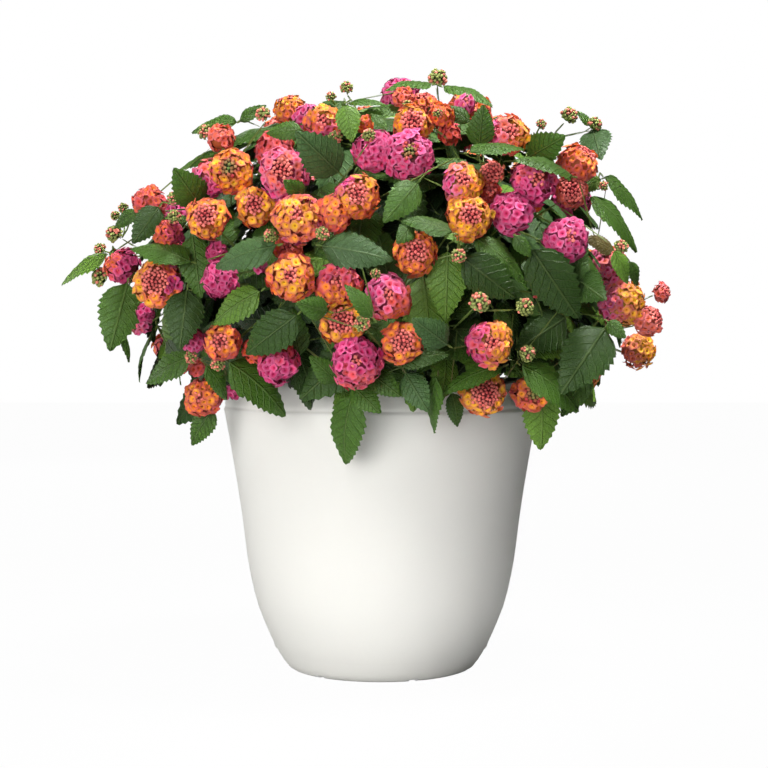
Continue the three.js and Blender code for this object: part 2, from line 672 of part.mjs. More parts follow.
// Whether a shell keeps clear of everything that other owners have placed.
function isClear(shell, owner) {
  const box = boxOf(shell.points);
  const near = placed.filter((piece) => piece.owner !== owner && piece.box.intersectsBox(box));
  if (!near.length) return true;
  const solid = solidOf(shell.points, shell.faces);
  return near.every((piece) => solid.intersect(piece.solid).isEmpty());
}

const taper = (from, to, count) => Array.from({ length: count },
  (_, k) => from + ((to - from) * k) / (count - 1));

// The main stems, upright in the soil and then leaning out to their part of the canopy.
function makeStems() {
  const stems = [];
  for (const tier of TIERS) {
    for (let k = 0; k < tier.count; k += 1) {
      const azimuth = tier.first + (360 * k) / tier.count;
      const aim = heading(azimuth, tier.elevation);
      const foot = heading(azimuth, 0).multiplyScalar(tier.circle);
      const soilTop = SOIL.edgeHeight + SOIL.crown;
      const bottom = foot.clone().setZ(soilTop - STEM.holeDepth);
      const above = foot.clone().setZ(soilTop + STEM.upright);
      const crown = HUB.clone().addScaledVector(aim, STEM.reach);
      const path = [bottom,
        ...route(above, vec(0, 0, 1), crown, aim, STEM.bend, STEM.segments - 1)];
      const radii = [STEM.radius, ...taper(STEM.radius, STEM.tipRadius, STEM.segments)];
      const holeRadius = (STEM.radius + STEM.holeGap) / Math.cos(Math.PI / STEM.holeSides);
      const plug = new THREE.CylinderGeometry(
        holeRadius, holeRadius, 2 * STEM.holeDepth, STEM.holeSides,
      );
      plug.rotateX(Math.PI / 2).translate(foot.x, foot.y, bottom.z - GAP + STEM.holeDepth);
      stems.push({
        name: `leafy_stem_${String(stems.length + 1).padStart(2, '0')}`,
        aim,
        path,
        shell: tube(path, radii, STEM.sides),
        hole: solidOfGeometry(plug),
      });
    }
  }
  return stems;
}

const SHOOT_RADII = taper(SHOOT.radius, SHOOT.tipRadius, SHOOT.segments + 1);
const SMALL_RADII = taper(SMALL_STALK.radius, SMALL_STALK.tipRadius, SMALL_STALK.segments + 1);
const BUD_RADII = taper(SMALL_STALK.radius, SMALL_STALK.budRadius, SMALL_STALK.segments + 1);
// The least and the most distance from a root to what grows on it.
const REACH = { head: [32, 190], small: [14, 170], petiole: [5, 120] };
// Where a stem and a shoot can carry what grows on them: shares of each stretch of their paths.
const JOINTS = { stem: [0.2, 0.6], shoot: [0.35, 0.85] };

// A stalk's path: from its root to a collar just below a head, and straight on to its underside.
const COLLAR = 5;
function stalkPath(root, lead, end, facing, tilt, bend, segments) {
  const collar = end.clone().addScaledVector(facing, -COLLAR);
  const arrive = facing.clone().addScaledVector(tilt, 1).normalize();
  return [...route(root, lead, collar, arrive, bend, segments - 1), end];
}

// The ways a stalk can come in to a head, straight or from one side, and how strongly it bends.
const TILTS = [[0, 0], [0, 0.7], [0.8, 0], [-0.8, 0], [0, -0.9]];
const BENDS = [0.34, 0.15];
function tilts(facing) {
  const side = squareTo(facing);
  const other = facing.clone().cross(side);
  return TILTS.map(([level, steep]) => side.clone().multiplyScalar(level)
    .addScaledVector(other, steep));
}

// Grow a stalk to a head's underside from a shoot or a stem behind it, past everything in its way,
// and across as little of its own stem as can be.
const ENOUGH = 1; // the crossing at its root
function stalkTo(end, facing, reach, radii) {
  const segments = radii.length - 1;
  const roots = rootsFor(end.clone().addScaledVector(facing, -COLLAR), facing, reach);
  let best = null;
  for (const tilt of tilts(facing)) {
    for (const root of roots) {
      for (const bend of BENDS) {
        const path = stalkPath(root.point, root.lead, end, facing, tilt, bend, segments);
        if (isClear(tube(path, radii, SHOOT.sides, CLEAR), root.owner)) {
          const shell = tube(path, radii, SHOOT.sides);
          const count = crossings(shell, root.owner);
          if (count > 0 && (!best || count < best.count)) {
            best = { count, owner: root.owner, path, shell };
          }
        }
        if (best && best.count <= ENOUGH) return best;
      }
    }
  }
  return best;
}

function addShoot(shoot) {
  place(shoot.owner, shoot.shell);
  addJoints(shoot.owner, shoot.path.slice(0, -1), JOINTS.shoot);
}

// Note the places on a path that can carry a stalk or a petiole, and the way the path runs there.
function addJoints(owner, path, shares) {
  for (let k = 0; k + 1 < path.length; k += 1) {
    const lead = path[k + 1].clone().sub(path[k]).normalize();
    for (const share of shares) {
      skeleton.push({ owner, lead, point: path[k].clone().lerp(path[k + 1], share) });
    }
  }
}

// The nearest places on the stems and shoots for what grows at `foot` along `axis`: one or two a
// stem, behind the foot where that can be, and on a stem that leans the foot's way.
const ROOTS = { count: 7, aStem: 2, apart: 25, behind: 1.6, aside: 2 };
function rootsFor(foot, axis, [least, most]) {
  const toward = foot.clone().sub(HUB).normalize();
  const costed = [];
  for (const { owner, point, lead } of skeleton) {
    const away = point.clone().sub(foot);
    const distance = away.length();
    if (distance >= least && distance <= most) {
      const behind = ROOTS.behind + away.dot(axis) / (distance + 1);
      const aside = ROOTS.aside - aims.get(owner).dot(toward);
      costed.push({ owner, point, lead, cost: distance * behind * aside });
    }
  }
  costed.sort((a, b) => a.cost - b.cost);
  const chosen = [];
  for (const joint of costed) {
    const same = chosen.filter((other) => other.owner === joint.owner);
    const far = same.every((other) => other.point.distanceTo(joint.point) > ROOTS.apart);
    if (same.length < ROOTS.aStem && far) chosen.push(joint);
    if (chosen.length === ROOTS.count) break;
  }
  return chosen;
}

// How many of its own stem's pieces a shell crosses.
function crossings(shell, owner) {
  const box = boxOf(shell.points);
  const near = placed.filter((piece) => piece.owner === owner && piece.box.intersectsBox(box));
  if (!near.length) return 0;
  const solid = solidOf(shell.points, shell.faces);
  return near.filter((piece) => !solid.intersect(piece.solid).isEmpty()).length;
}

// Try the leaf's poses in turn, and place the first that is clear of the other stems and heads and
// crosses nothing of its own stem but the shoot at its root, or else the one that crosses least.
function growLeaf(poses) {
  let best = null;
  for (const leaf of poses) {
    const axis = leaf.tip.clone().sub(leaf.base).normalize();
    const neck = leaf.base.clone().addScaledVector(axis, -PETIOLE.neck);
    for (const root of rootsFor(neck, axis, REACH.petiole)) {
      if (isClear(leafShell(leaf, root.point, CLEAR), root.owner)) {
        const shell = leafShell(leaf, root.point);
        const count = crossings(shell, root.owner);
        if (count > 0 && (!best || count < best.count)) best = { count, owner: root.owner, shell };
        if (best && best.count <= ENOUGH) break;
      }
    }
    if (best && best.count <= ENOUGH) break;
  }
  if (best) place(best.owner, best.shell);
  return best !== null;
}

// A surveyed leaf's pose at a shift in depth and a twist about its rib. A blade that looks broad for
// its length leans towards the standpoint, and one that looks narrow is turned on its rib.
const LEAF_FIT = { behind: 6, steepest: 0.45, leanRoom: 20, leastWidth: 0.92, mostTurn: 68 };
function surveyedLeaf([across, up, tipAcross, tipUp, width, depth], shift, twist) {
  const y = canopyDepth(across, up) + depth + shift + LEAF_FIT.behind;
  const base = onSight(across, up, y);
  const seen = Math.hypot(tipAcross - across, tipUp - up);
  const slope = canopyDepth(tipAcross, tipUp) - canopyDepth(across, up);
  const lean = Math.sqrt(Math.max((width / BLADE.widthShare) ** 2 - seen ** 2, 0));
  const room = Math.sqrt(Math.max(BLADE.longest ** 2 - seen ** 2, 0));
  const most = Math.min(LEAF_FIT.steepest * seen, room);
  const rise = lean > 0 ? -Math.min(lean, BLADE.longest - LEAF_FIT.leanRoom)
    : THREE.MathUtils.clamp(slope, -most, most);
  const tip = onSight(tipAcross, tipUp, y + rise);
  const axis = tip.clone().sub(base).normalize();
  const sight = vec(0, -STANDPOINT.distance, STANDPOINT.height).sub(base).normalize();
  const facing = sight.addScaledVector(axis, -sight.dot(axis)).normalize();
  const leastWidth = BLADE.widthShare * tip.distanceTo(base) * LEAF_FIT.leastWidth;
  const trueWidth = Math.max(width, leastWidth);
  const turn = Math.min(Math.acos(Math.min(width / trueWidth, 1)), radians(LEAF_FIT.mostTurn));
  const normals = [turn, -turn]
    .map((angle) => facing.clone().applyAxisAngle(axis, angle + radians(twist)));
  const normal = normals[0].z > normals[1].z ? normals[0] : normals[1];
  return { base, tip, normal, width: trueWidth };
}

const SHIFTS = [0, 6, -6, 12, -12, 18, -18, 25, -25, 34, 44, 56, 70];
const TWISTS = [0, 18, -18];
function surveyedPoses(row) {
  return TWISTS.flatMap((twist) => SHIFTS.map((shift) => surveyedLeaf(row, shift, twist)));
}

// A head's place, facing and radius from its surveyed row, and the face it lies behind.
const HEAD_SET = 0.5; // share of its radius that a head lies behind the canopy's face
function surveyedHead([across, up, radius, depth, , facing], index, face) {
  const y = face + depth + HEAD_SET * radius;
  const scale = (STANDPOINT.distance + y) / STANDPOINT.distance;
  const centre = onSight(across, up, y);
  const way = facing ? vec(...facing).normalize() : outward(centre);
  return headFrame(centre, way, radius * scale, 2 * Math.PI * chance(index + 1));
}

// ---------------------------------------------------------------- putting it together

// A mesh with its needless edges drawn together: the shortest ones where that turns no face over,
// and longer ones where it hardly turns a face at all.
const NEEDLESS = [{ length: 0.75, turn: 0.3 }, { length: 6, turn: 0.99 }];
const FLAT = 1e-4; // a face smaller than this has no direction to keep
function tidied({ vertProperties, triVerts }) {
  const points = [];
  for (let i = 0; i < vertProperties.length; i += 3) {
    points.push(vec(vertProperties[i], vertProperties[i + 1], vertProperties[i + 2]));
  }
  const faces = [];
  for (let i = 0; i < triVerts.length; i += 3) faces.push([...triVerts.slice(i, i + 3)]);
  const around = points.map(() => new Set());
  faces.forEach((face, index) => face.forEach((corner) => around[corner].add(index)));
  const neighbours = (corner) => new Set([...around[corner]].flatMap((index) => faces[index]));
  const normalOf = ([a, b, c]) => b.clone().sub(a).cross(c.clone().sub(a));
  const drawTogether = (keep, drop, turn) => {
    const shared = [...neighbours(keep)].filter((corner) => neighbours(drop).has(corner));
    if (shared.length !== 4) return false; // the two ends and the two corners across the edge
    for (const index of around[drop]) {
      if (!faces[index].includes(keep)) {
        const before = normalOf(faces[index].map((corner) => points[corner]));
        const after = normalOf(faces[index].map((corner) => points[corner === drop ? keep : corner]));
        const kept = before.dot(after) >= turn * before.length() * after.length();
        if (!kept && before.length() > FLAT) return false;
        if (after.length() < FLAT) return false;
      }
    }
    for (const index of [...around[drop]]) {
      if (faces[index].includes(keep)) {
        faces[index].forEach((corner) => around[corner].delete(index));
        faces[index] = null;
      } else {
        faces[index] = faces[index].map((corner) => (corner === drop ? keep : corner));
        around[keep].add(index);
      }
    }
    around[drop].clear();
    return true;
  };
  const drawIn = (index, k) => {
    const a = faces[index][k];
    const b = faces[index][(k + 1) % 3];
    return NEEDLESS.some(({ length, turn }) => points[a].distanceTo(points[b]) < length
      && (drawTogether(a, b, turn) || drawTogether(b, a, turn)));
  };
  for (let pass = 0; pass < 3; pass += 1) {
    for (let index = 0; index < faces.length; index += 1) {
      for (let k = 0; k < 3 && faces[index]; k += 1) {
        if (drawIn(index, k)) break;
      }
    }
  }
  return { points, faces: faces.filter((face) => face) };
}

// The largest closed shell of a solid: cavities and scraps that joining leaves are dropped.
const SCRAP = 20; // mm3
function outerShell(solid, owner) {
  const bodies = solid.decompose();
  const whole = bodies.reduce((best, body) => (body.volume() > best.volume() ? body : best));
  if (bodies.some((body) => body !== whole && body.volume() > SCRAP)) {
    problems.push(`${owner} is in pieces`);
  }
  return whole;
}

const group = new THREE.Group();
function addNode(name, solid, look) {
  const { points, faces } = tidied(solid.getMesh());
  const geometry = new THREE.BufferGeometry().setFromPoints(points);
  geometry.setIndex(faces.flat());
  const mesh = new THREE.Mesh(geometry, new THREE.MeshStandardMaterial(COLOURS[look]));
  mesh.name = name;
  group.add(mesh);
}

function joined(owner) {
  const solids = placed.filter((piece) => piece.owner === owner).map((piece) => piece.solid);
  return outerShell(solids.reduce((whole, solid) => whole.add(solid)), owner);
}

const stems = makeStems();
const aims = new Map(stems.map((stem) => [stem.name, stem.aim]));
const pot = makePot();
const soil = makeSoil(stems);
const potMesh = pot.getMesh();
const potPoints = [];
for (let i = 0; i < potMesh.vertProperties.length; i += 3) {
  potPoints.push(vec(...potMesh.vertProperties.slice(i, i + 3)));
}
placed.push({ owner: 'pot', solid: pot, box: boxOf(potPoints) });
for (const stem of stems) {
  place(stem.name, stem.shell);
  addJoints(stem.name, stem.path.slice(2), JOINTS.stem);
  skeleton.push({ owner: stem.name, lead: stem.aim, point: stem.path[stem.path.length - 1] });
}

// open heads first, then the shoots that carry them
const blooms = new Map(); // node name -> look
const stalks = [];
const clusterOf = new Map(CLUSTERS.flatMap((keys, k) => keys.map((key) => [key, k])));
Object.entries(HEADS).forEach(([key, row], index) => {
  const cluster = clusterOf.get(key);
  const name = cluster === undefined ? `flower_head_${key.slice(1)}`
    : `flower_cluster_${CLUSTERS[cluster].map((member) => member.slice(1)).join('_')}`;
  const members = cluster === undefined ? [key] : CLUSTERS[cluster];
  const faces = members.map((member) => canopyDepth(HEADS[member][0], HEADS[member][1]));
  const frame = surveyedHead(row, index, faces.reduce((sum, face) => sum + face) / faces.length);
  blooms.set(name, row[4]);
  place(name, headShell(frame));
  stalks.push({ name, frame, label: key });
});

for (const { frame, label } of stalks) {
  const end = frame.centre.clone().addScaledVector(frame.facing, -headDrop(frame.radius) - GAP);
  const shoot = stalkTo(end, frame.facing, REACH.head, SHOOT_RADII);
  if (shoot) addShoot(shoot);
  else problems.push(`no shoot to ${label}`);
}

// small heads and buds, each with its stalk, joined to the stem they grow from
const SMALL_SHIFTS = [0, 6, 12, 20, 30, -8, -16, 40];
const SUNK = 0.25; // share of its radius that a stalk goes into a small head
const SEEDS = { small: 100, bud: 200, spiral: 400 };
function growSmall(rows, shellOf, radii, seed, label) {
  rows.forEach((row, index) => {
    const full = [row[0], row[1], row[2], row[3], null, row[4]];
    for (const shift of SMALL_SHIFTS) {
      const frame = surveyedHead(full, seed + index, canopyDepth(row[0], row[1]) + shift);
      const shell = shellOf(frame);
      const fat = shellOf({ ...frame, radius: frame.radius + CLEAR });
      const end = frame.centre.clone().addScaledVector(frame.facing, -SUNK * frame.radius);
      const shoot = stalkTo(end, frame.facing, REACH.small, radii);
      if (shoot && isClear(fat, shoot.owner)) {
        addShoot(shoot);
        place(shoot.owner, shell);
        return;
      }
    }
    problems.push(`no place for ${label} ${index}`);
  });
}
growSmall(SMALL_HEADS, (frame) => smallDome(frame, 4), SMALL_RADII, SEEDS.small, 'small head');
growSmall(BUDS, budShell, BUD_RADII, SEEDS.bud, 'bud');

LEAVES.forEach((row, index) => {
  if (!growLeaf(surveyedPoses(row))) problems.push(`no place for leaf ${index}`);
});

// The point at a share of the way that a ray from the hub has to the canopy's outside.
function canopyPoint(way, share) {
  const [least, most] = CANOPY_REACH;
  const level = Math.hypot(way.x, way.y);
  let reach = least;
  while (reach * level < canopyRadius(HUB.z + reach * way.z) && reach < most) reach += 1;
  return HUB.clone().addScaledVector(way, reach * share);
}

// The azimuth and the elevation of one of a number of places spread evenly on a spiral.
function spiralWay(k, places) {
  const low = Math.sin(radians(SPIRAL.lowest));
  const high = Math.sin(radians(SPIRAL.highest));
  const elevation = THREE.MathUtils.radToDeg(Math.asin(low + (high - low) * ((k + 0.5) / places)));
  return [((k * SPIRAL.golden) % 360) - 180, elevation];
}

// A leaf below a spiral head, one of those round its stalk, at a turn and an inset.
function ringLeaf(frame, index, turn, inset) {
  const angle = radians(RING.apart * index + turn);
  const away = frame.side.clone().multiplyScalar(Math.cos(angle))
    .addScaledVector(frame.other, Math.sin(angle));
  const length = SPIRAL.leafLength
    * THREE.MathUtils.lerp(...RING.length, chance(frame.seed + 7 * index));
  const run = away.clone().addScaledVector(frame.facing, RING.rise).add(RING.droop).normalize();
  const base = frame.centre.clone()
    .addScaledVector(frame.facing, -RING.below - RING.step * index - inset)
    .addScaledVector(away, RING.out * frame.radius);
  const normal = frame.facing.clone().addScaledVector(run, -frame.facing.dot(run)).normalize();
  const tip = base.clone().addScaledVector(run, length);
  return { base, tip, normal, width: length * BLADE.widthShare };
}

// A head at a place on the spiral, or nothing where the survey has been or a head is near.
function spiralHead(k, radius, others) {
  const [azimuth, elevation] = spiralWay(k, SPIRAL.places);
  if (Math.abs(azimuth) < SPIRAL.surveyed && elevation < SPIRAL.surveyedBelow) return null;
  const way = heading(azimuth, elevation);
  const seed = SEEDS.spiral + 11 * k;
  const size = radius * THREE.MathUtils.lerp(...SPIRAL.sizes, chance(seed));
  const centre = canopyPoint(way, SPIRAL.canopyShare).addScaledVector(way, -HEAD_SET * size);
  if (others.some((other) => other.centre.distanceTo(centre) < SPIRAL.spacing)) return null;
  return { ...headFrame(centre, outward(centre), size, 2 * Math.PI * chance(seed)), seed };
}

// A leaf between the heads, at a place of its own spiral, a share of the canopy's reach and a turn.
function spreadLeaf(k, share, turn) {
  const [azimuth, elevation] = spiralWay(k, SPREAD.places);
  const here = canopyPoint(heading(azimuth, elevation), share);
  const normal = outward(here);
  const down = heading(azimuth, 0).add(vec(0, 0, -1));
  const run = down.addScaledVector(normal, -normal.dot(down)).normalize()
    .applyAxisAngle(normal, radians(turn));
  const base = here.clone().addScaledVector(run, -SPREAD.middle * SPREAD.length);
  const tip = base.clone().addScaledVector(run, SPREAD.length);
  return { base, tip, normal, width: SPREAD.length * BLADE.widthShare };
}

const TURNS = [0, 25, -25, 50, -50];
const INSETS = [0, 8, 18, 30];
const spiralHeads = [];
for (let step = 0; step < SPIRAL.places; step += 1) {
  const own = spiralHeads.length < SPIRAL.heads;
  const frame = spiralHead((step * SPIRAL.stride) % SPIRAL.places,
    own ? SPIRAL.radius : SPIRAL.smallRadius, spiralHeads);
  if (frame && spiralHeads.length < SPIRAL.heads + SPIRAL.smallHeads) {
    const fat = headShell({ ...frame, radius: frame.radius + CLEAR });
    const sunk = own ? headDrop(frame.radius) + GAP : SUNK * frame.radius;
    const end = frame.centre.clone().addScaledVector(frame.facing, -sunk);
    const name = `flower_head_back_${String(spiralHeads.length + 1).padStart(2, '0')}`;
    if (own && isClear(fat, '')) {
      place(name, headShell(frame));
      const shoot = stalkTo(end, frame.facing, REACH.head, SHOOT_RADII);
      if (shoot) {
        addShoot(shoot);
        spiralHeads.push(frame);
        blooms.set(name, SPIRAL.colours[spiralHeads.length % SPIRAL.colours.length]);
      } else {
        placed.pop();
      }
    } else if (!own) {
      const shoot = stalkTo(end, frame.facing, REACH.small, SMALL_RADII);
      if (shoot && isClear(fat, shoot.owner)) {
        addShoot(shoot);
        place(shoot.owner, smallDome(frame, 4));
        spiralHeads.push(frame);
      }
    }
  }
}
for (let ring = 0; ring < SPIRAL.leaves; ring += 1) {
  for (const frame of spiralHeads) {
    const poses = INSETS.flatMap((inset) => TURNS.map((turn) => ringLeaf(frame, ring, turn, inset)));
    if (!growLeaf(poses)) problems.push('no place for a back leaf');
  }
}
let spreadLeaves = 0;
for (let k = 0; k < SPREAD.places; k += 1) {
  const poses = SPREAD.shares
    .flatMap((share) => SPREAD.turns.map((turn) => spreadLeaf(k, share, turn)));
  if (growLeaf(poses)) spreadLeaves += 1;
}
if (spreadLeaves < SPREAD.least) problems.push(`only ${spreadLeaves} leaves between the heads`);

if (problems.length) throw new Error(problems.join(', '));

addNode('pot', pot, 'pot');
addNode('soil', soil, 'soil');
for (const stem of stems) addNode(stem.name, joined(stem.name), 'leaf');
for (const [name, look] of blooms) addNode(name, joined(name), look);

export default group;
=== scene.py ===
import json
import math

import bpy
import numpy as np
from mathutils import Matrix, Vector
from mathutils.kdtree import KDTree


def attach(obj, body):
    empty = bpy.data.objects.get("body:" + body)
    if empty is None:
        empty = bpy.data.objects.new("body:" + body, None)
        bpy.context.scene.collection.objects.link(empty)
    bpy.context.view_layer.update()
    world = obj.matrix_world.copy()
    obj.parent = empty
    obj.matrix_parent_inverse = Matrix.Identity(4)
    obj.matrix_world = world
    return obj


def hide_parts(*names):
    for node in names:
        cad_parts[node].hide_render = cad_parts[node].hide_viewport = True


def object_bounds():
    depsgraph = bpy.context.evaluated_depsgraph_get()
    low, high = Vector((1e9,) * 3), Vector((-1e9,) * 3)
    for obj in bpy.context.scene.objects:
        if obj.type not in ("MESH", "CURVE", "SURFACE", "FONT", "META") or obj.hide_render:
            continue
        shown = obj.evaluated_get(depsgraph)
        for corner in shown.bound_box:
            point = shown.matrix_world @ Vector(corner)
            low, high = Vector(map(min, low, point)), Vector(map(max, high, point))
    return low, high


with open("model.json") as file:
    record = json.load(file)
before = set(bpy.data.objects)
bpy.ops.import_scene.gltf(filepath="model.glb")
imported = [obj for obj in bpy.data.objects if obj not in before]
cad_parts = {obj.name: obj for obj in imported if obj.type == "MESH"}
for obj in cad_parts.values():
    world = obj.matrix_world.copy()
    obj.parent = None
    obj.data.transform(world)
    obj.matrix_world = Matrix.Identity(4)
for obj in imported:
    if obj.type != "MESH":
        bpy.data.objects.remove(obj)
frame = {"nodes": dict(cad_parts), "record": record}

# A potted lantana. Lengths are in millimetres until a mesh is made, +Z up, -Y towards the viewer.
CAD_LOW, CAD_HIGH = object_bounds()
MM = 0.001
GOLDEN = 137.508  # degrees between the neighbours of an even spiral

# ---- the plant, as the solids have it

# The canopy is a round form about the pot's axis: height, radius.
CANOPY = [
    (150, 150), (190, 156), (215, 166), (240, 183), (270, 215), (300, 246), (350, 257), (400, 246),
    (450, 218), (480, 192), (494, 174), (510, 142), (525, 92), (534, 30), (560, 5),
]
UP = np.array([0, 0, 1.0])
HUB = np.array([0, 0, 300.0])  # where the shoots spread from
CANOPY_REACH = (60, 240)  # the least and the most from the hub to the canopy's face
STAND, STAND_HEIGHT = 1600.0, 302.5  # the survey's standpoint: how far in front, how high
STANDPOINT = np.array([0, -STAND, STAND_HEIGHT])
SETTLE_PASSES, SETTLE_STEP = 24, 0.5  # how a depth on the canopy's face is found
HEAD_LIFT = np.array([0, 0, 0.25])  # heads and leaves face out of the canopy and a little up
HEAD_SET = 0.5  # share of its radius that a head lies behind the canopy's face
# An open head: across, up, radius, depth, facing, and its look: colours, the way they run ("out"
# from the middle, or the angle of a direction as seen), the share of buds, and the buds' colour.
HEADS = {
    "h01": (-156, 405, 19.0, 0, None, ("yellow amber orange coral", "out", 0.42)),
    "h03": (-209, 418, 15.4, 0, (-0.7, -0.3, 0.6), ("coral orange coral", "out", 0.35)),
    "h05": (-153, 442, 16.3, 8, None, ("magenta pink salmon", 90, 0)),
    "h06": (-135, 447, 19.9, 0, None, ("amber yellow orange coral", "out", 0.35, "green")),
    "h07": (-200, 346, 22.6, 0, None, ("yellow amber orange magenta", 0, 0.42)),
    "h08": (-233, 362, 16.3, 22, (-0.8, 0.3, 0.4), ("orange magenta plum", 0, 0)),
    "h11": (-145, 349, 16.3, 10, None, ("magenta magenta plum", "out", 0)),
    "h12": (-143, 293, 16.3, 0, None, ("amber orange coral", "out", 0.35)),
    "h15": (-161, 243, 17.2, 0, None, ("amber orange coral", "out", 0.2)),
    "h17": (-87, 445, 23.2, 0, None, ("salmon pink magenta", "out", 0.3)),
    "h18": (-113, 415, 17.6, 20, None, ("yellow orange", "out", 0.4)),
    "h19": (-96, 467, 17.2, 48, (0, 0.4, 0.9), ("brick coral", "out", 0)),
    "h20": (-75, 405, 22.6, 0, None, ("yellow amber salmon pink", "out", 0.18)),
    "h21": (-42, 410, 17.4, 3, None, ("amber orange coral", "out", 0)),
    "h22": (-21, 424, 19.9, 0, None, ("magenta yellow amber orange", -45, 0.42)),
    "h23": (-52, 489, 16.3, 0, None, ("pink orange yellow", 90, 0.3)),
    "h24": (-6, 465, 19.0, 12, None, ("magenta pink", "out", 0)),
    "h25": (25, 461, 22.6, 0, None, ("pink magenta", "out", 0.25, "green")),
    "h26": (28, 489, 17.2, 16, None, ("yellow amber salmon", "out", 0.5)),
    "h31": (115, 479, 18.1, 0, None, ("pink salmon yellow", 0, 0.3)),
    "h32": (73, 436, 18.1, 6, None, ("pink amber yellow", 0, 0.3)),
    "h33": (79, 405, 20.8, 0, None, ("yellow yellow amber orange", "out", 0.38)),
    "h36": (118, 410, 19.0, 0, None, ("magenta pink", "out", 0)),
    "h37": (138, 437, 19.9, 6, None, ("magenta magenta coral", 90, 0.25)),
    "h39": (171, 429, 14.6, 0, None, ("salmon", "out", 0.7)),
    "h40": (177, 453, 18.2, 2, (0.5, -0.3, 0.7), ("amber orange salmon", "out", 0.4)),
    "h41": (167, 386, 19.9, 0, None, ("pink magenta pink", "out", 0.2)),
    "h42": (-81, 352, 21.7, 0, None, ("yellow amber orange coral", "out", 0.25)),
    # h43's brick is painted shade: the darker orange of a head that lies in shadow.
    "h43": (-83, 378, 13.5, 40, None, ("brick orange", "out", 0.3)),
    "h45": (-38, 346, 20.8, 6, None, ("amber orange coral magenta", 90, 0.2)),
    "h46": (6, 334, 21.7, 0, None, ("orange coral pink pink", 135, 0.2)),
    "h47": (-35, 311, 19.9, 6, None, ("yellow amber salmon", "out", 0.45)),
    "h48": (-22, 275, 23.5, 0, None, ("coral magenta magenta", 90, 0.15)),
    "h49": (19, 293, 19.0, 0, None, ("amber orange coral", "out", 0.45)),
    "h50": (-93, 274, 19.0, 0, None, ("magenta magenta brick", 90, 0)),
    "h52": (31, 373, 19.9, 8, None, ("orange amber brick", "out", 0.42)),
    "h53": (98, 292, 20.8, 0, None, ("magenta coral amber yellow", 0, 0.25)),
    "h54": (92, 247, 20.8, 0, None, ("yellow amber salmon", "out", 0.5)),
    "h55": (135, 247, 16.3, 6, None, ("amber orange coral", "out", 0.4, "green")),
    "h57": (218, 328, 20.8, 0, None, ("pink salmon yellow yellow", 0, 0)),
    "h58": (232, 286, 15.4, 0, (0.8, -0.3, 0.2), ("yellow yellow salmon", "out", 0)),
    "h59": (241, 313, 13.2, 0, (0.7, -0.4, 0.3), ("salmon", "out", 0.6)),
}
CLUSTERS = [
    ("h05", "h06"), ("h20", "h21", "h22"), ("h24", "h25", "h26"), ("h32", "h33"), ("h36", "h37"),
    ("h39", "h40"), ("h45", "h47", "h48"), ("h57", "h59"),
]
# Small heads, joined to their stem: as above.
SMALL_HEADS = [
    (-191, 391, 12.6, 6, None, ("orange plum", 0, 0)),
    (-144, 477, 12.6, 6, (0.2, 0.5, 0.8), ("salmon orange salmon", "out", 0)),
    (-213, 320, 8.1, 10, (-0.3, -0.2, -0.9), ("plum magenta", "out", 0)),
    (-148, 374, 9.9, 25, None, ("plum magenta", "out", 0)),
    (-169, 295, 10.8, 8, None, ("pink magenta", "out", 0)),
    (-166, 270, 7.2, 20, None, ("brick coral", "out", 0)),
    (-133, 249, 7.2, 12, None, ("magenta plum", "out", 0)),
    (20, 513, 9.9, 0, (0, -0.2, 1), ("orange salmon", "out", 0.3)),
    (54, 496, 11.7, 8, (0.3, 0.3, 0.9), ("amber orange", "out", 0)),
    (62, 481, 9.9, 22, (0.2, 0.6, 0.7), ("plum brick", "out", 0)),
    (76, 507, 8.1, 10, None, ("pink magenta", "out", 0.3)),
    (100, 446, 10.8, 12, None, ("salmon green", "out", 0.8)),
    (98, 429, 9.9, 25, None, ("brick coral", "out", 0.4)),
    (138, 417, 5.4, 24, None, ("brick orange", "out", 0.5)),
    (-110, 364, 7.2, 15, None, ("pink magenta", "out", 0)),
    (-114, 286, 10.8, 22, None, ("brick orange", "out", 0.2)),
    (142, 342, 7.2, 40, None, ("plum brick", "out", 0.3)),
    (253, 338, 8.1, 0, (0.9, 0, 0.3), ("coral salmon", "out", 0.7)),
    (-14, 489, 7.2, 15, None, ("orange amber", "out", 0.2)),
]
# Bud heads: across, up, radius, depth.
BUDS = [
    (-240, 391, 7.2, 0), (-253, 352, 8.1, 0), (-186, 406, 5.9, 0), (-158, 482, 6.3, 0),
    (-106, 498, 6.3, 0), (-31, 522, 5.4, 0), (-41, 477, 5.9, 0), (-11, 479, 5.9, 0),
    (51, 530, 8.1, 0), (169, 497, 7.2, 0), (192, 489, 6.3, 0), (184, 451, 6.3, 0),
    (216, 379, 6.3, 0), (3, 326, 6.3, 24), (-17, 310, 6.8, 0), (70, 371, 6.3, 0),
    (89, 329, 8.6, 0), (130, 325, 7.7, 0), (132, 283, 7.2, 0), (-171, 280, 5.9, 0),
    (-147, 274, 6.3, 0), (-100, 389, 5.9, 0), (-53, 391, 5.9, 0),
]
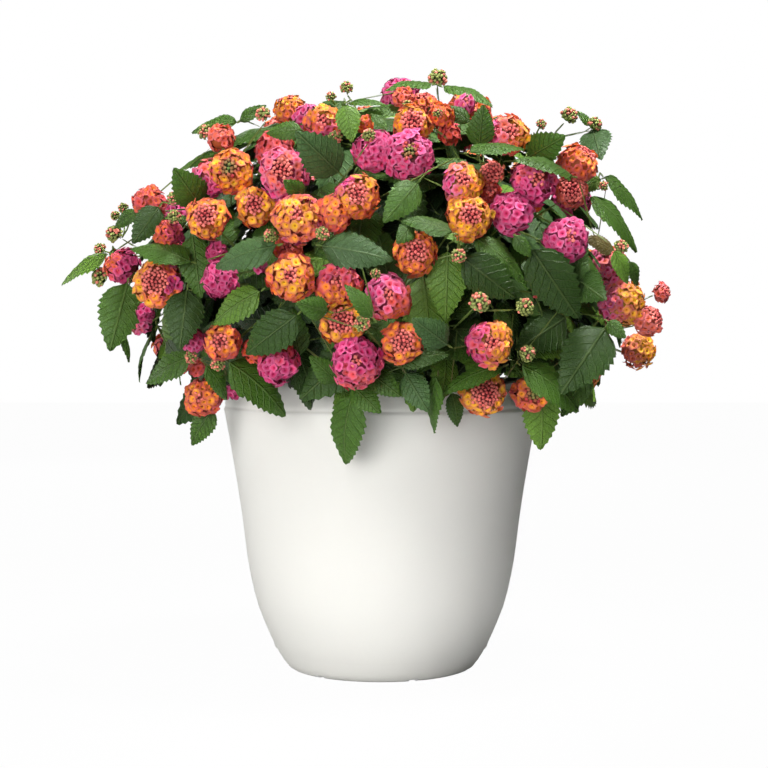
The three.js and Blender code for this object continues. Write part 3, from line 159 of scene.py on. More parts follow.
# Leaves: base across and up, tip across and up, width, depth, tone.
LEAVES = [
    (-246, 372, -288, 344, 11, 0, "light"), (-220, 411, -240, 396, 13, 0, "mid"),
    (-200, 415, -224, 382, 25, 8, "dark"), (-172, 366, -226, 377, 20, 4, "mid"),
    (-174, 402, -204, 398, 14, 8, "mid"), (-163, 417, -187, 450, 31, 12, "mid"),
    (-131, 463, -181, 448, 13, 4, "mid"), (-130, 492, -170, 481, 12, 4, "mid"),
    (-170, 389, -163, 332, 30, 8, "mid"), (-175, 340, -182, 286, 34, 8, "dark"),
    (-229, 346, -245, 285, 39, 8, "mid"), (-172, 280, -212, 256, 22, 0, "mid"),
    (-109, 339, -151, 309, 25, 0, "light"), (-94, 380, -149, 360, 24, 4, "blue"),
    (-38, 446, -77, 483, 36, 12, "blue"), (-71, 484, -103, 481, 16, 8, "mid"),
    (-32, 509, -73, 488, 14, 4, "mid"), (-32, 507, -26, 473, 21, -14, "light"),
    (23, 501, -19, 497, 10, 8, "mid"), (45, 525, 3, 518, 8, 0, "mid"),
    (56, 523, 100, 505, 9, 0, "mid"), (80, 492, 54, 505, 14, 12, "mid"),
    (88, 469, 92, 507, 24, 12, "mid"), (45, 500, 68, 449, 17, 12, "dark"),
    (80, 464, 129, 466, 9, -8, "mid"), (101, 494, 134, 484, 7, 0, "mid"),
    (133, 460, 166, 479, 31, 12, "mid"), (172, 443, 119, 456, 8, -6, "mid"),
    (191, 484, 198, 457, 31, 4, "blue"), (201, 442, 235, 403, 13, 0, "mid"),
    (189, 424, 230, 374, 14, 4, "mid"), (209, 376, 182, 387, 14, 4, "brown"),
    (210, 375, 222, 346, 14, 4, "light"), (198, 440, 173, 431, 16, 8, "light"),
    (33, 437, 2, 401, 27, 4, "mid"), (64, 392, 18, 402, 14, -4, "mid"),
    (-53, 380, 11, 367, 30, 2, "blue"), (60, 375, 58, 313, 34, -6, "light"),
    (85, 387, 127, 349, 20, 4, "mid"), (74, 369, 121, 333, 34, 6, "dark"),
    (98, 415, 122, 383, 15, 16, "mid"), (136, 377, 178, 315, 41, 6, "dark"),
    (178, 349, 203, 331, 32, 12, "dark"), (175, 345, 186, 384, 16, 12, "dark"),
    (166, 315, 122, 286, 41, 8, "dark"), (102, 323, 120, 294, 12, 20, "mid"),
    (202, 306, 162, 246, 45, 2, "dark"), (189, 264, 163, 226, 23, 12, "mid"),
    (127, 272, 178, 230, 25, -8, "mid"), (144, 256, 144, 196, 34, 0, "light"),
    (109, 271, 56, 246, 16, -10, "mid"), (64, 247, 69, 217, 16, 8, "mid"),
    (51, 262, 49, 211, 14, 0, "mid"), (22, 265, 43, 230, 25, 8, "blue"),
    (-10, 266, 18, 244, 22, 4, "mid"), (-26, 254, 0, 229, 23, 4, "mid"),
    (-26, 245, -31, 183, 29, 4, "mid"), (-36, 256, -31, 208, 22, -10, "light"),
    (-39, 257, -65, 281, 20, 10, "mid"), (-77, 288, -64, 232, 25, 10, "dark"),
    (-137, 275, -87, 226, 30, -4, "mid"), (-76, 318, -122, 283, 34, 4, "dark"),
    (-48, 321, -77, 329, 20, 8, "mid"), (-9, 308, 27, 285, 13, -14, "mid"),
    (-8, 316, -33, 345, 15, -12, "mid"), (-158, 272, -140, 241, 15, -4, "mid"),
    (-151, 234, -171, 200, 22, 6, "mid"), (60, 291, 28, 315, 27, 12, "blue"),
    (17, 275, 62, 282, 18, 6, "dark"),
]
# The solids' florets on a small head: shares of its radius, and latitudes in degrees.
THROAT, LOBE, CLEFT = 0.9, 1.0, 0.84
SMALL_RING = {"throat": 30, "top_lobe": 60, "side_lobe": 27, "cleft": 46, "base": -24}
SMALL_FLORETS, BIG_FLORETS = 4, 6
BUD_SHELL = {"knobs": 4, "shoulder": 22, "low": 0.78, "base": -45, "base_share": 0.8}
# The solids' blades: how they arch and fold, and where their corners lie. An edge point has its
# share of the length and of the half width, and every other one is a tooth.
ARCH, FOLD, THICK, EDGE_THICK, WIDTH_SHARE, LONGEST = 0.1, 0.16, 1.5, 0.8, 0.6, 84.0
EDGES = {
    "long": [(0.09, 0.6), (0.31, 1.0), (0.37, 0.85), (0.58, 0.84), (0.64, 0.65), (0.83, 0.46)],
    "middle": [(0.1, 0.62), (0.36, 1.0), (0.44, 0.82), (0.72, 0.66)],
    "short": [(0.12, 0.66), (0.46, 1.0), (0.55, 0.78)],
}
RIBS = {"long": (0.34, 0.68), "middle": (0.5,), "short": (0.5,)}
LONG_BLADE, SHORT_BLADE = 74, 36
LEAF_FIT = {"behind": 6, "steepest": 0.45, "lean_room": 20, "least_width": 0.92, "most_turn": 68}
# What the solids try in turn until an item lies clear of the others.
SHIFTS = (0, 6, -6, 12, -12, 18, -18, 25, -25, 34, 44, 56, 70)
TWISTS = (0, 18, -18)
SMALL_SHIFTS = (0, 6, 12, 20, 30, -8, -16, 40)
TURNS = (0, 25, -25, 50, -50)
INSETS = (0, 8, 18, 30)
# Round the sides, the back and the top: heads on a spiral, leaves under them, leaves between them.
PLACES, LOWEST, HIGHEST = 89, -12, 88
SURVEYED, SURVEYED_BELOW = 80, 52  # degrees to each side of the front, up to this elevation
CANOPY_SHARE = 0.93
SPIRAL_RADIUS, SPIRAL_SMALL, SIZES = 18, 12.5, (0.9, 1.15)
RING = {"leaves": 2, "apart": 160, "length": 64, "shares": (0.8, 0.45), "rise": 0.1,
        "droop": np.array([0, 0, -0.3]), "below": 10, "step": 5, "out": 0.45}
SPREAD = {"places": 18, "shares": (0.84, 0.9, 0.78, 0.72), "length": 72, "middle": 0.4,
          "turns": (0, 45, -45, 90, -90, 135)}
SEED_SMALL, SEED_BUD, SEED_SPIRAL = 100, 200, 400

# What shows between the surveyed items and is too small for the solids. Buds: across, up, radius.
# Young leaves: base across and up, tip across and up, width.
TINY_BUDS = [
    (-232, 414, 4.5), (-239, 407, 4.5), (-253, 377, 5.4), (-187, 423, 5.4), (-45, 514, 4.5),
    (24, 507, 4.5), (51, 499, 4.5), (89, 465, 4.5), (144, 489, 4.5), (200, 434, 4.5),
    (-5, 355, 4.5),
]
TINY_LEAVES = [
    (-150, 447, -168, 436, 7), (-237, 306, -228, 275, 5), (-29, 508, 4, 506, 5),
    (-8, 498, 5, 484, 9), (50, 451, 77, 456, 9), (188, 488, 176, 501, 8),
    (-161, 280, -151, 312, 11), (120, 389, 135, 370, 13), (-241, 378, -235, 356, 12),
    (204, 312, 221, 297, 14), (28, 398, 14, 382, 16), (224, 366, 231, 344, 11),
    (-70, 426, -88, 439, 16), (-127, 492, -103, 506, 11),
]


def srgb(red, green, blue):
    """A colour given in 0 to 255 steps, as linear light."""
    out = []
    for step in (red, green, blue):
        c = step / 255
        out.append(c / 12.92 if c <= 0.04045 else ((c + 0.055) / 1.055) ** 2.4)
    return np.array(out)


# The inner part of an open floret, and its rim.
PETAL = {
    "yellow": srgb(255, 198, 34), "amber": srgb(254, 172, 34), "orange": srgb(246, 130, 42),
    "brick": srgb(206, 74, 38), "salmon": srgb(240, 112, 76), "coral": srgb(228, 82, 72),
    "pink": srgb(224, 58, 118), "magenta": srgb(196, 34, 98), "plum": srgb(138, 22, 66),
    "green": srgb(124, 154, 78),
}
RIM = {
    "yellow": srgb(252, 150, 92), "amber": srgb(246, 122, 96), "orange": srgb(234, 92, 94),
    "brick": srgb(218, 86, 84), "salmon": srgb(244, 128, 128), "coral": srgb(238, 110, 126),
    "pink": srgb(248, 132, 180), "magenta": srgb(236, 104, 158), "plum": srgb(188, 64, 110),
    "green": srgb(160, 150, 90),
}
BUD_DEEP, BUD_RIPE = srgb(190, 66, 70), srgb(240, 132, 120)
# Leaf tones; the last, darkest one is painted shade for the leaves inside the canopy.
LEAF = {
    "dark": srgb(53, 82, 28), "mid": srgb(72, 108, 34), "light": srgb(106, 145, 50),
    "blue": srgb(70, 102, 54), "brown": srgb(108, 94, 50), "painted_shade": srgb(30, 52, 20),
}
STALK, BARK = srgb(106, 128, 58), srgb(112, 96, 62)
POT_TINT, SOIL_TINT, SOIL_SIDE = srgb(238, 237, 231), srgb(58, 42, 30), srgb(46, 34, 25)


# ---- the solids' own rules

def chance(seed):
    """A repeatable number from 0 to 1 for a seed. Each draw of a thing adds its own number to it."""
    wave = math.sin(seed * 12.9898 + 4.1) * 43758.5453
    return wave - math.floor(wave)


def drawn(given, seed):
    """A random number from its least value and its span."""
    least, span = given
    return least + span * chance(seed)


def jitter(width, seed):
    """A random shift to either side, over this width in all."""
    return width * (chance(seed) - 0.5)


def along(points, x):
    """The height at x of the line through these points."""
    return float(np.interp(x, [p[0] for p in points], [p[1] for p in points]))


def unit(v):
    """The same direction, 1 long."""
    return v / np.linalg.norm(v)


def on_sight(across, up, y):
    """The point at depth y on the sight line to a place on the upright plane through the axis."""
    scale = (STAND + y) / STAND
    return np.array([across * scale, y, STAND_HEIGHT + (up - STAND_HEIGHT) * scale])


def canopy_depth(across, up):
    """How far behind the axis the canopy's face lies on this sight line."""
    y = 0.0
    for _ in range(SETTLE_PASSES):
        point = on_sight(across, up, y)
        reach = along(CANOPY, point[2])
        y += SETTLE_STEP * (-math.sqrt(max(reach * reach - point[0] * point[0], 0)) - y)
    return y


def heading(azimuth, elevation):
    """A direction from its azimuth, counted from the front, and its elevation, in degrees."""
    a, e = math.radians(azimuth), math.radians(elevation)
    return np.array([math.sin(a) * math.cos(e), -math.cos(a) * math.cos(e), math.sin(e)])


def outward(place):
    """The way that a head or a leaf at this place faces."""
    return unit(unit(place - HUB) + HEAD_LIFT)


def squared(v, axis):
    """A direction made square to an axis."""
    return unit(v - axis * (v @ axis))


UPRIGHT = 0.05  # a direction with less sideways than this counts as upright


def square_to(direction):
    """A level direction at right angles to this one."""
    level = np.array([-direction[1], direction[0], 0.0])
    if np.linalg.norm(level) < UPRIGHT:
        level = np.array([1.0, 0, 0])
    return squared(level, direction)


def turned(v, axis, angle):
    """A vector turned about an axis."""
    c, s = math.cos(angle), math.sin(angle)
    return v * c + np.cross(axis, v) * s + axis * (axis @ v) * (1 - c)


def head_frame(centre, facing, radius, spin):
    """A head: its centre, the way it faces, its radius, and two ways square to its facing."""
    side = turned(square_to(facing), facing, spin)
    return {"centre": centre, "facing": facing, "radius": radius, "side": side,
            "other": np.cross(facing, side)}


def dome_point(head, latitude, longitude, share):
    """A point on a head, at this share of its radius."""
    la, lo = math.radians(latitude), math.radians(longitude)
    reach = share * head["radius"]
    return (head["centre"] + head["side"] * (math.cos(lo) * math.cos(la) * reach)
            + head["other"] * (math.sin(lo) * math.cos(la) * reach)
            + head["facing"] * (math.sin(la) * reach))


def small_dome_points(head, count=SMALL_FLORETS):
    """The corners of the solids' dome with this many florets round its top."""
    ring = SMALL_RING
    step = 360 / count
    points = [dome_point(head, 90, 0, THROAT)]
    for i in range(count):
        points += [
            dome_point(head, ring["throat"], i * step, THROAT),
            dome_point(head, ring["top_lobe"], i * step, LOBE),
            dome_point(head, ring["side_lobe"], (i + 0.5) * step, LOBE),
            dome_point(head, ring["cleft"], (i + 0.5) * step, CLEFT),
            dome_point(head, ring["base"], i * step, LOBE),
        ]
    return points


def bud_points(head):
    """The corners of the solids' bud head."""
    bud = BUD_SHELL
    knobs = bud["knobs"]
    points = [dome_point(head, 90, 0, 1)]
    points += [dome_point(head, bud["shoulder"], 180 / knobs * i, bud["low"] if i % 2 else 1.0)
               for i in range(2 * knobs)]
    return points + [dome_point(head, bud["base"], 360 / knobs * i, bud["base_share"])
                     for i in range(knobs)]


def surveyed_head(row, index, face):
    """A head on its sight line, in the canopy's face at this depth."""
    across, up, radius, depth, facing = row[:5]
    y = face + depth + HEAD_SET * radius
    centre = on_sight(across, up, y)
    way = unit(np.array(facing, float)) if facing else outward(centre)
    scale = (STAND + y) / STAND
    return head_frame(centre, way, radius * scale, 2 * math.pi * chance(index + 1))


def surveyed_leaf(row, shift, twist):
    """A leaf on its sight lines, leaning as far as its width asks for."""
    across, up, tip_across, tip_up, width, depth = row[:6]
    fit = LEAF_FIT
    y = canopy_depth(across, up) + depth + shift + fit["behind"]
    base = on_sight(across, up, y)
    seen = math.hypot(tip_across - across, tip_up - up)
    slope = canopy_depth(tip_across, tip_up) - canopy_depth(across, up)
    lean = math.sqrt(max((width / WIDTH_SHARE) ** 2 - seen ** 2, 0))
    most = min(fit["steepest"] * seen, math.sqrt(max(LONGEST ** 2 - seen ** 2, 0)))
    rise = -min(lean, LONGEST - fit["lean_room"]) if lean > 0 else min(max(slope, -most), most)
    tip = on_sight(tip_across, tip_up, y + rise)
    axis = unit(tip - base)
    sight = unit(STANDPOINT - base)
    facing = squared(sight, axis)
    true_width = max(width, WIDTH_SHARE * np.linalg.norm(tip - base) * fit["least_width"])
    turn = min(math.acos(min(width / true_width, 1)), math.radians(fit["most_turn"]))
    normals = [turned(facing, axis, a + math.radians(twist)) for a in (turn, -turn)]
    normal = normals[0] if normals[0][2] > normals[1][2] else normals[1]
    return {"base": base, "tip": tip, "normal": normal, "width": true_width}


def canopy_point(way, share=CANOPY_SHARE):
    """The point at a share of the way that a ray from the hub has to the canopy's face."""
    reach, most = CANOPY_REACH
    level = math.hypot(way[0], way[1])
    while reach * level < along(CANOPY, HUB[2] + reach * way[2]) and reach < most:
        reach += 1
    return HUB + way * (reach * share)


def spiral_way(k, places=PLACES):
    """Azimuth and elevation of one of a number of places spread evenly on a spiral."""
    low, high = math.sin(math.radians(LOWEST)), math.sin(math.radians(HIGHEST))
    share = (k + 0.5) / places
    elevation = math.degrees(math.asin(low + (high - low) * share))
    azimuth = math.fmod(k * GOLDEN, 360) - 180
    return azimuth, elevation


def spiral_head(k, radius):
    """The head at this place of the spiral."""
    azimuth, elevation = spiral_way(k)
    way = heading(azimuth, elevation)
    seed = SEED_SPIRAL + 11 * k
    size = radius * (SIZES[0] + (SIZES[1] - SIZES[0]) * chance(seed))
    centre = canopy_point(way) - way * (HEAD_SET * size)
    head = head_frame(centre, outward(centre), size, 2 * math.pi * chance(seed))
    head["seed"] = seed
    return head


def leaf_along(base, run, length, normal, share=WIDTH_SHARE):
    """A leaf that runs this way from its base, its width a share of its length."""
    return {"base": base, "tip": base + run * length, "normal": normal, "width": length * share}


def ring_leaf(head, index, turn, inset):
    """A leaf below a spiral head, one of those round its stalk."""
    angle = math.radians(RING["apart"] * index + turn)
    away = head["side"] * math.cos(angle) + head["other"] * math.sin(angle)
    length = RING["length"] * drawn(RING["shares"], head["seed"] + 7 * index)
    run = unit(away + head["facing"] * RING["rise"] + RING["droop"])
    base = (head["centre"] - head["facing"] * (RING["below"] + RING["step"] * index + inset)
            + away * (RING["out"] * head["radius"]))
    return leaf_along(base, run, length, squared(head["facing"], run))


def spread_leaf(k, share, turn):
    """A leaf between the heads, in the canopy's surface, its tip down or at a turn from there."""
    azimuth, elevation = spiral_way(k, SPREAD["places"])
    here = canopy_point(heading(azimuth, elevation), share)
    normal = outward(here)
    down = heading(azimuth, 0) - UP
    run = turned(squared(down, normal), normal, math.radians(turn))
    base = here - run * (SPREAD["middle"] * SPREAD["length"])
    return leaf_along(base, run, SPREAD["length"], normal)


def blade_bow(length, half, s, v):
    """How far a blade stands off its chord at a share of its length and of its half width."""
    return 4 * ARCH * length * s * (1 - s) - FOLD * np.abs(v) * half


def blade_frame(leaf):
    """A blade's length, the way along it and the way across it."""
    chord = leaf["tip"] - leaf["base"]
    length = np.linalg.norm(chord)
    axis = chord / length
    return length, axis, unit(np.cross(leaf["normal"], axis))


def blade_keys(leaf):
    """The corners that the solid's blade has apart from its petiole."""
    length, axis, side = blade_frame(leaf)
    kind = "long" if length >= LONG_BLADE else "middle" if length >= SHORT_BLADE else "short"
    half = leaf["width"] / 2

    def at(s, v, lift):
        lift = blade_bow(length, half, s, v) + lift
        return leaf["base"] + axis * (s * length) + side * (v * half) + leaf["normal"] * lift

    keys = [leaf["tip"]]
    keys += [at(s, 0, lift) for s in RIBS[kind] for lift in (THICK / 2, -THICK / 2)]
    for hand in (-1, 1):
        for k, (s, v) in enumerate(EDGES[kind]):
            lifts = (0,) if k % 2 else (EDGE_THICK / 2, -EDGE_THICK / 2)
            keys += [at(s, v * hand, lift) for lift in lifts]
    return keys


# ---- finding the solids' choices

TOUCH = 0.05  # how near a corner has to lie to count as found
FEWEST_HITS = 3


def corners_of(name):
    """A CAD node's corners, in millimetres."""
    mesh = frame["nodes"][name].data
    here = np.zeros(len(mesh.vertices) * 3)
    mesh.vertices.foreach_get("co", here)
    return here.reshape(-1, 3) / MM


def tree_of(points):
    """A search tree of points."""
    tree = KDTree(len(points))
    for k, point in enumerate(points):
        tree.insert(point, k)
    tree.balance()
    return tree


class Solid:
    """The corners of some CAD nodes, and the node that each one belongs to."""

    def __init__(self, names):
        self.points, self.owner = [], []
        for name in names:
            here = list(corners_of(name))
            self.points += here
            self.owner += [name] * len(here)
        self.tree = tree_of(self.points)

    def found(self, keys):
        """The solids' corners that lie at these points."""
        near = [self.tree.find(key) for key in keys]
        return [k for _, k, distance in near if distance < TOUCH]

    def best(self, options, keys_of):
        """The option that most of the corners speak for, with those corners."""
        best, hits = None, []
        for option in options:
            here = self.found(keys_of(option))
            if len(here) > len(hits):
                best, hits = option, here
        return (best, hits) if len(hits) >= FEWEST_HITS else (None, [])

    def owner_of(self, hits):
        """The node that most of these corners belong to."""
        names = [self.owner[k] for k in hits]
        return max(sorted(set(names)), key=names.count)


# ---- making meshes

BOX_MARGIN = 1e-5  # how far inside the CAD model's box the scene stays, in metres


def grid_faces(rows, wide, start=0, closed=True, flip=False):
    """Four-sided faces between rows of points, each so many wide, and closed round or open."""
    faces = []
    for i in range(rows):
        for j in range(wide if closed else wide - 1):
            a, b = start + i * wide + j, start + i * wide + (j + 1) % wide
            faces.append((a, a + wide, b + wide, b) if flip else (a, b, b + wide, a + wide))
    return faces


def in_scene(name, data):
    """A new object in the scene."""
    made = bpy.data.objects.new(name, data)
    bpy.context.scene.collection.objects.link(made)
    return made


def make_piece(name, points, faces, tints, look, replaced):
    """A visible piece of points in metres, with a tint for each, in the place of a CAD node."""
    mesh = bpy.data.meshes.new(name)
    mesh.from_pydata(points.tolist(), [], faces)
    mesh.polygons.foreach_set("use_smooth", [True] * len(mesh.polygons))
    layer = mesh.color_attributes.new("tint", "FLOAT_COLOR", "POINT")
    opaque = np.hstack([tints, np.ones((len(points), 1))])
    layer.data.foreach_set("color", opaque.astype(np.float32).ravel())
    mesh.materials.append(look)
    piece = in_scene(name, mesh)
    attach(piece, "root")
    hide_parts(replaced)
    return piece


class Batch:
    """Faces gathered for one piece: points in millimetres, a tint and a place for each."""

    def __init__(self):
        self.points, self.faces, self.tints, self.places = [], [], [], []
        self.count = 0

    def add(self, points, faces, tints, places=None):
        """Takes in faces; a place is a point's share across a leaf and along it."""
        points = np.asarray(points, float)
        self.points.append(points)
        self.tints.append(np.broadcast_to(np.asarray(tints, float), points.shape))
        self.places.append(np.zeros((len(points), 2)) if places is None else np.array(places))
        self.faces += [tuple(corner + self.count for corner in face) for face in faces]
        self.count += len(points)

    def make(self, name, look, slot, replaced):
        """The piece, held inside the CAD model's box."""
        low, high = np.array(CAD_LOW) + BOX_MARGIN, np.array(CAD_HIGH) - BOX_MARGIN
        points = np.clip(np.vstack(self.points) * MM, low, high)
        piece = make_piece(name, points, self.faces, np.vstack(self.tints), look, replaced)
        corner = np.zeros(len(piece.data.loops), np.int32)
        piece.data.loops.foreach_get("vertex_index", corner)
        layer = piece.data.uv_layers.new(name="place")
        layer.data.foreach_set("uv", np.vstack(self.places)[corner].astype(np.float32).ravel())
        return piece


# ---- materials

# A blade's side veins: how many it has, how much they slant, from where to where they fade in,
# how deep they are against the midrib, and how much all veins show. The midrib's own edge.
VEINS = 8.0
VEIN = {"slant": 0.5, "edge": (0.38, 0.5), "depth": 0.6, "shown": 0.6, "midrib": (0.01, 0.036)}
CELLS = {"scale": 330, "rim": 0.2, "height": 0.15}  # the puckers between the veins
# The tint that darkens the puckers' sunken edges is painted shade; the veins are mixed a share
# towards a pale green.
CELL_CREASE_PAINTED_SHADE, VEIN_PALE, PALE_SHARE = (0.7, 0.74, 0.7, 1), (0.30, 0.40, 0.14, 1), 0.22
LEAF_BUMP = (0.9, 0.0016)  # strength and depth
GRAIN_DETAIL = 4


def material(name, roughness, specular):
    """A new material, its tree and its shader."""
    made = bpy.data.materials.new(name)
    made.use_nodes = True
    shader = made.node_tree.nodes["Principled BSDF"]
    shader.inputs["Roughness"].default_value = roughness
    shader.inputs["Specular IOR Level"].default_value = specular
    return made, made.node_tree, shader


def feed(tree, socket, value):
    """Sets a socket to a number or a colour, or links another node's output to it."""
    if isinstance(value, bpy.types.NodeSocket):
        tree.links.new(value, socket)
    else:
        socket.default_value = value


def maths(tree, operation, *values):
    """A maths node on numbers or other nodes' outputs."""
    node = tree.nodes.new("ShaderNodeMath")
    node.operation = operation
    for socket, value in zip(node.inputs, values):
        feed(tree, socket, value)
    return node.outputs[0]


def mixed(tree, share, first, second, how="MIX"):
    """Two colours mixed; the mix node's colours are its sockets 6 and 7."""
    node = tree.nodes.new("ShaderNodeMix")
    node.data_type = "RGBA"
    node.blend_type = how
    for index, value in ((0, share), (6, first), (7, second)):
        feed(tree, node.inputs[index], value)
    return node.outputs[2]


def tint_of(tree):
    """The tint that each point of a piece has."""
    node = tree.nodes.new("ShaderNodeAttribute")
    node.attribute_name = "tint"
    return node.outputs["Color"]


def texture(tree, kind, scale):
    """A solid texture in the object's own coordinates."""
    node = tree.nodes.new(kind)
    node.inputs["Scale"].default_value = scale
    feed(tree, node.inputs["Vector"], tree.nodes.new("ShaderNodeTexCoord").outputs["Object"])
    return node


def bumped(tree, shader, height, strength, distance):
    """Gives a shader a bump of this height."""
    node = tree.nodes.new("ShaderNodeBump")
    for name, value in (("Strength", strength), ("Distance", distance), ("Height", height)):
        feed(tree, node.inputs[name], value)
    feed(tree, shader.inputs["Normal"], node.outputs["Normal"])


def ramp(tree, value, low, high):
    """A smooth step from 0 to 1 between two values."""
    node = tree.nodes.new("ShaderNodeMapRange")
    node.interpolation_type = "SMOOTHSTEP"
    for name, given in (("From Min", low), ("From Max", high), ("Value", value)):
        feed(tree, node.inputs[name], given)
    return node.outputs["Result"]


def leaf_veins(tree):
    """How deep in a vein a point of a blade lies: in the midrib or in an arched side vein."""
    uv = tree.nodes.new("ShaderNodeUVMap")
    uv.uv_map = "place"
    split = tree.nodes.new("ShaderNodeSeparateXYZ")
    feed(tree, split.inputs[0], uv.outputs["UV"])
    across = maths(tree, "ABSOLUTE", maths(tree, "SUBTRACT", split.outputs[0], 0.5))
    slant = maths(tree, "MULTIPLY", across, VEIN["slant"])
    phase = maths(tree, "MULTIPLY", maths(tree, "SUBTRACT", split.outputs[1], slant), VEINS)
    gap = maths(tree, "ABSOLUTE", maths(tree, "SUBTRACT", maths(tree, "FRACT", phase), 0.5))
    side_vein = maths(tree, "MULTIPLY", ramp(tree, gap, *VEIN["edge"]), VEIN["depth"])
    midrib = maths(tree, "SUBTRACT", 1.0, ramp(tree, across, *VEIN["midrib"]))
    return maths(tree, "MAXIMUM", midrib, side_vein)


def leaf_material():
    """Deep green with a net of sunken veins, and fine cells between them, darkened at their sunken
    edges as painted shade.
    """
    made, tree, shader = material("leaf", 0.5, 0.36)
    vein, tint = leaf_veins(tree), tint_of(tree)
    net = texture(tree, "ShaderNodeTexVoronoi", CELLS["scale"])
    net.feature = "DISTANCE_TO_EDGE"
    cells = ramp(tree, net.outputs["Distance"], 0.0, CELLS["rim"])
    body = mixed(tree, cells, mixed(tree, 1.0, tint, CELL_CREASE_PAINTED_SHADE, "MULTIPLY"), tint)
    pale = mixed(tree, PALE_SHARE, tint, VEIN_PALE)
    colour = mixed(tree, maths(tree, "MULTIPLY", vein, VEIN["shown"]), body, pale)
    feed(tree, shader.inputs["Base Color"], colour)
    height = maths(tree, "SUBTRACT", maths(tree, "MULTIPLY", cells, CELLS["height"]), vein)
    bumped(tree, shader, height, *LEAF_BUMP)
    return made


def plain_material(name, roughness, specular, grain=None):
    """A colour from the piece's own tints, with a fine grain: its scale, strength and depth."""
    made, tree, shader = material(name, roughness, specular)
    feed(tree, shader.inputs["Base Color"], tint_of(tree))
    if grain:
        noise = texture(tree, "ShaderNodeTexNoise", grain[0])
        noise.inputs["Detail"].default_value = GRAIN_DETAIL
        bumped(tree, shader, noise.outputs["Fac"], *grain[1:])
    return made


LEAF_LOOK = leaf_material()
PETAL_LOOK = plain_material("petal", 0.62, 0.3)
STALK_LOOK = plain_material("stalk", 0.55, 0.4)
POT_LOOK = plain_material("pot", 0.6, 0.4, (1400, 0.25, 0.0003))
SOIL_LOOK = plain_material("soil", 0.95, 0.2, (400, 0.8, 0.002))


# ---- leaves and petioles

# A blade's half width along its length, as shares of both.
BLADE_OUTLINE = [
    (0, 0.03), (0.04, 0.34), (0.09, 0.62), (0.18, 0.86), (0.3, 1.0), (0.42, 0.985), (0.55, 0.88),
    (0.68, 0.71), (0.8, 0.5), (0.9, 0.28), (0.96, 0.12), (1, 0),
]
# How far a blade's edge draws in between two teeth and how much these lean forward; its ripple,
# how many it has, and its curl; its shade, also towards its tip and its edge.
BLADE = {
    "cleft": 0.87, "lean": 0.42, "ripple": 0.027, "ripples": 1.7, "curl": 0.16,
    "shade": (0.82, 0.36), "tip_shade": (0.88, 0.24), "edge_shade": 0.12,
}
QUILT, QUILT_SPAN = 1.25, 1.2  # how high a blade bulges between veins; 1 over how far across
NARROWEST = 0.05  # the least share of its width that a blade's veins are laid out for
PETIOLE_SIDES, PETIOLE_STEPS = 5, 5


def add_blade(batch, leaf, tint, seed, teeth=11, columns=4, quilt=QUILT):
    """A toothed ovate blade, quilted between its veins, on the frame that the solid has."""
    length, axis, side = blade_frame(leaf)
    half = leaf["width"] / 2
    rows = 2 * teeth
    wave, twist = chance(seed), jitter(1, seed + 1)
    shade = drawn(BLADE["shade"], seed + 2)
    least_shade, more_shade = BLADE["tip_shade"]
    points, tints, places = [], [], []
    for i in range(rows + 1):
        s = i / rows
        outline = along(BLADE_OUTLINE, s)
        tooth = i % 2 == 1
        reach = outline * (1.0 if tooth else BLADE["cleft"])
        ripple = math.sin(2 * math.pi * (BLADE["ripples"] * s + wave)) * BLADE["ripple"]
        for j in range(-columns, columns + 1):
            u = j / columns
            v = u * reach
            lean = BLADE["lean"] / rows if tooth and abs(j) == columns else 0
            phase = (s - VEIN["slant"] / 2 * abs(u)) * VEINS
            bulge = quilt * abs(math.sin(math.pi * phase))
            bulge *= math.sin(math.pi * min(abs(u) * QUILT_SPAN, 1))
            lift = (blade_bow(length, half, s, v) + bulge + ripple * abs(u) ** 2 * length * (1 - s)
                    + twist * BLADE["curl"] * half * u * s)
            points.append(leaf["base"] + axis * (min(s + lean, 1) * length) + side * (v * half)
                          + leaf["normal"] * lift)
            places.append((0.5 + 0.5 * u * max(outline, NARROWEST), s))
            tints.append(tint * (shade * (least_shade + more_shade * s)
                                 * (1.0 + BLADE["edge_shade"] * (abs(u) - 0.5))))
    batch.add(points, grid_faces(rows, 2 * columns + 1, closed=False), tints, places)


def add_petiole(batch, start, bend, end, radius, tint):
    """A thin round stalk from start past bend to end."""
    path = []
    for k in range(PETIOLE_STEPS + 1):
        t = k / PETIOLE_STEPS
        path.append(start * (1 - t) ** 2 + bend * 2 * t * (1 - t) + end * t * t)
    points = []
    level = square_to(unit(path[1] - path[0]))
    for k, centre in enumerate(path):
        tangent = unit(path[min(k + 1, PETIOLE_STEPS)] - path[max(k - 1, 0)])
        level = squared(level, tangent)
        up = np.cross(tangent, level)
        for i in range(PETIOLE_SIDES):
            a = 2 * math.pi * i / PETIOLE_SIDES
            points.append(centre + (level * math.cos(a) + up * math.sin(a)) * radius)
    batch.add(points, grid_faces(PETIOLE_STEPS, PETIOLE_SIDES), tint)


# ---- flower heads

# A floret of size 1: its throat's depth, its rings (share of its reach, height), its tube below
# (height, half width), how its lobes notch, fold, droop and tilt, and points to each lobe.
THROAT_DEPTH = -0.34
FLORET_RINGS = ((0.28, -0.16), (0.62, 0.16), (1.0, 0.14))
FLORET_TUBE, TUBE_SIDES = ((-0.2, 0.22), (-1.3, 0.12)), 4
LOBE_SHAPE = {"round": 0.6, "notch": 0.25, "fold": 0.16, "droop": 0.14, "tilt": 0.1, "from": 0.7}
LOBE_POINTS = 3
TINT_STOPS = (-1, 0, 0.28, 0.62, 1.0)  # the tube, the throat and the rings
# The throat's tint; the tube's share of the inner colour and its least, darkened as painted shade.
THROAT_TINT, TUBE_PAINTED_SHADE = np.array([0.5, 0.2, 0.16]), (0.4, 0.02)
INNER_BRIGHT, MIDDLE_MIX = 1.3, (0.5, 0.6)  # the ring round the throat; inner and rim in the next


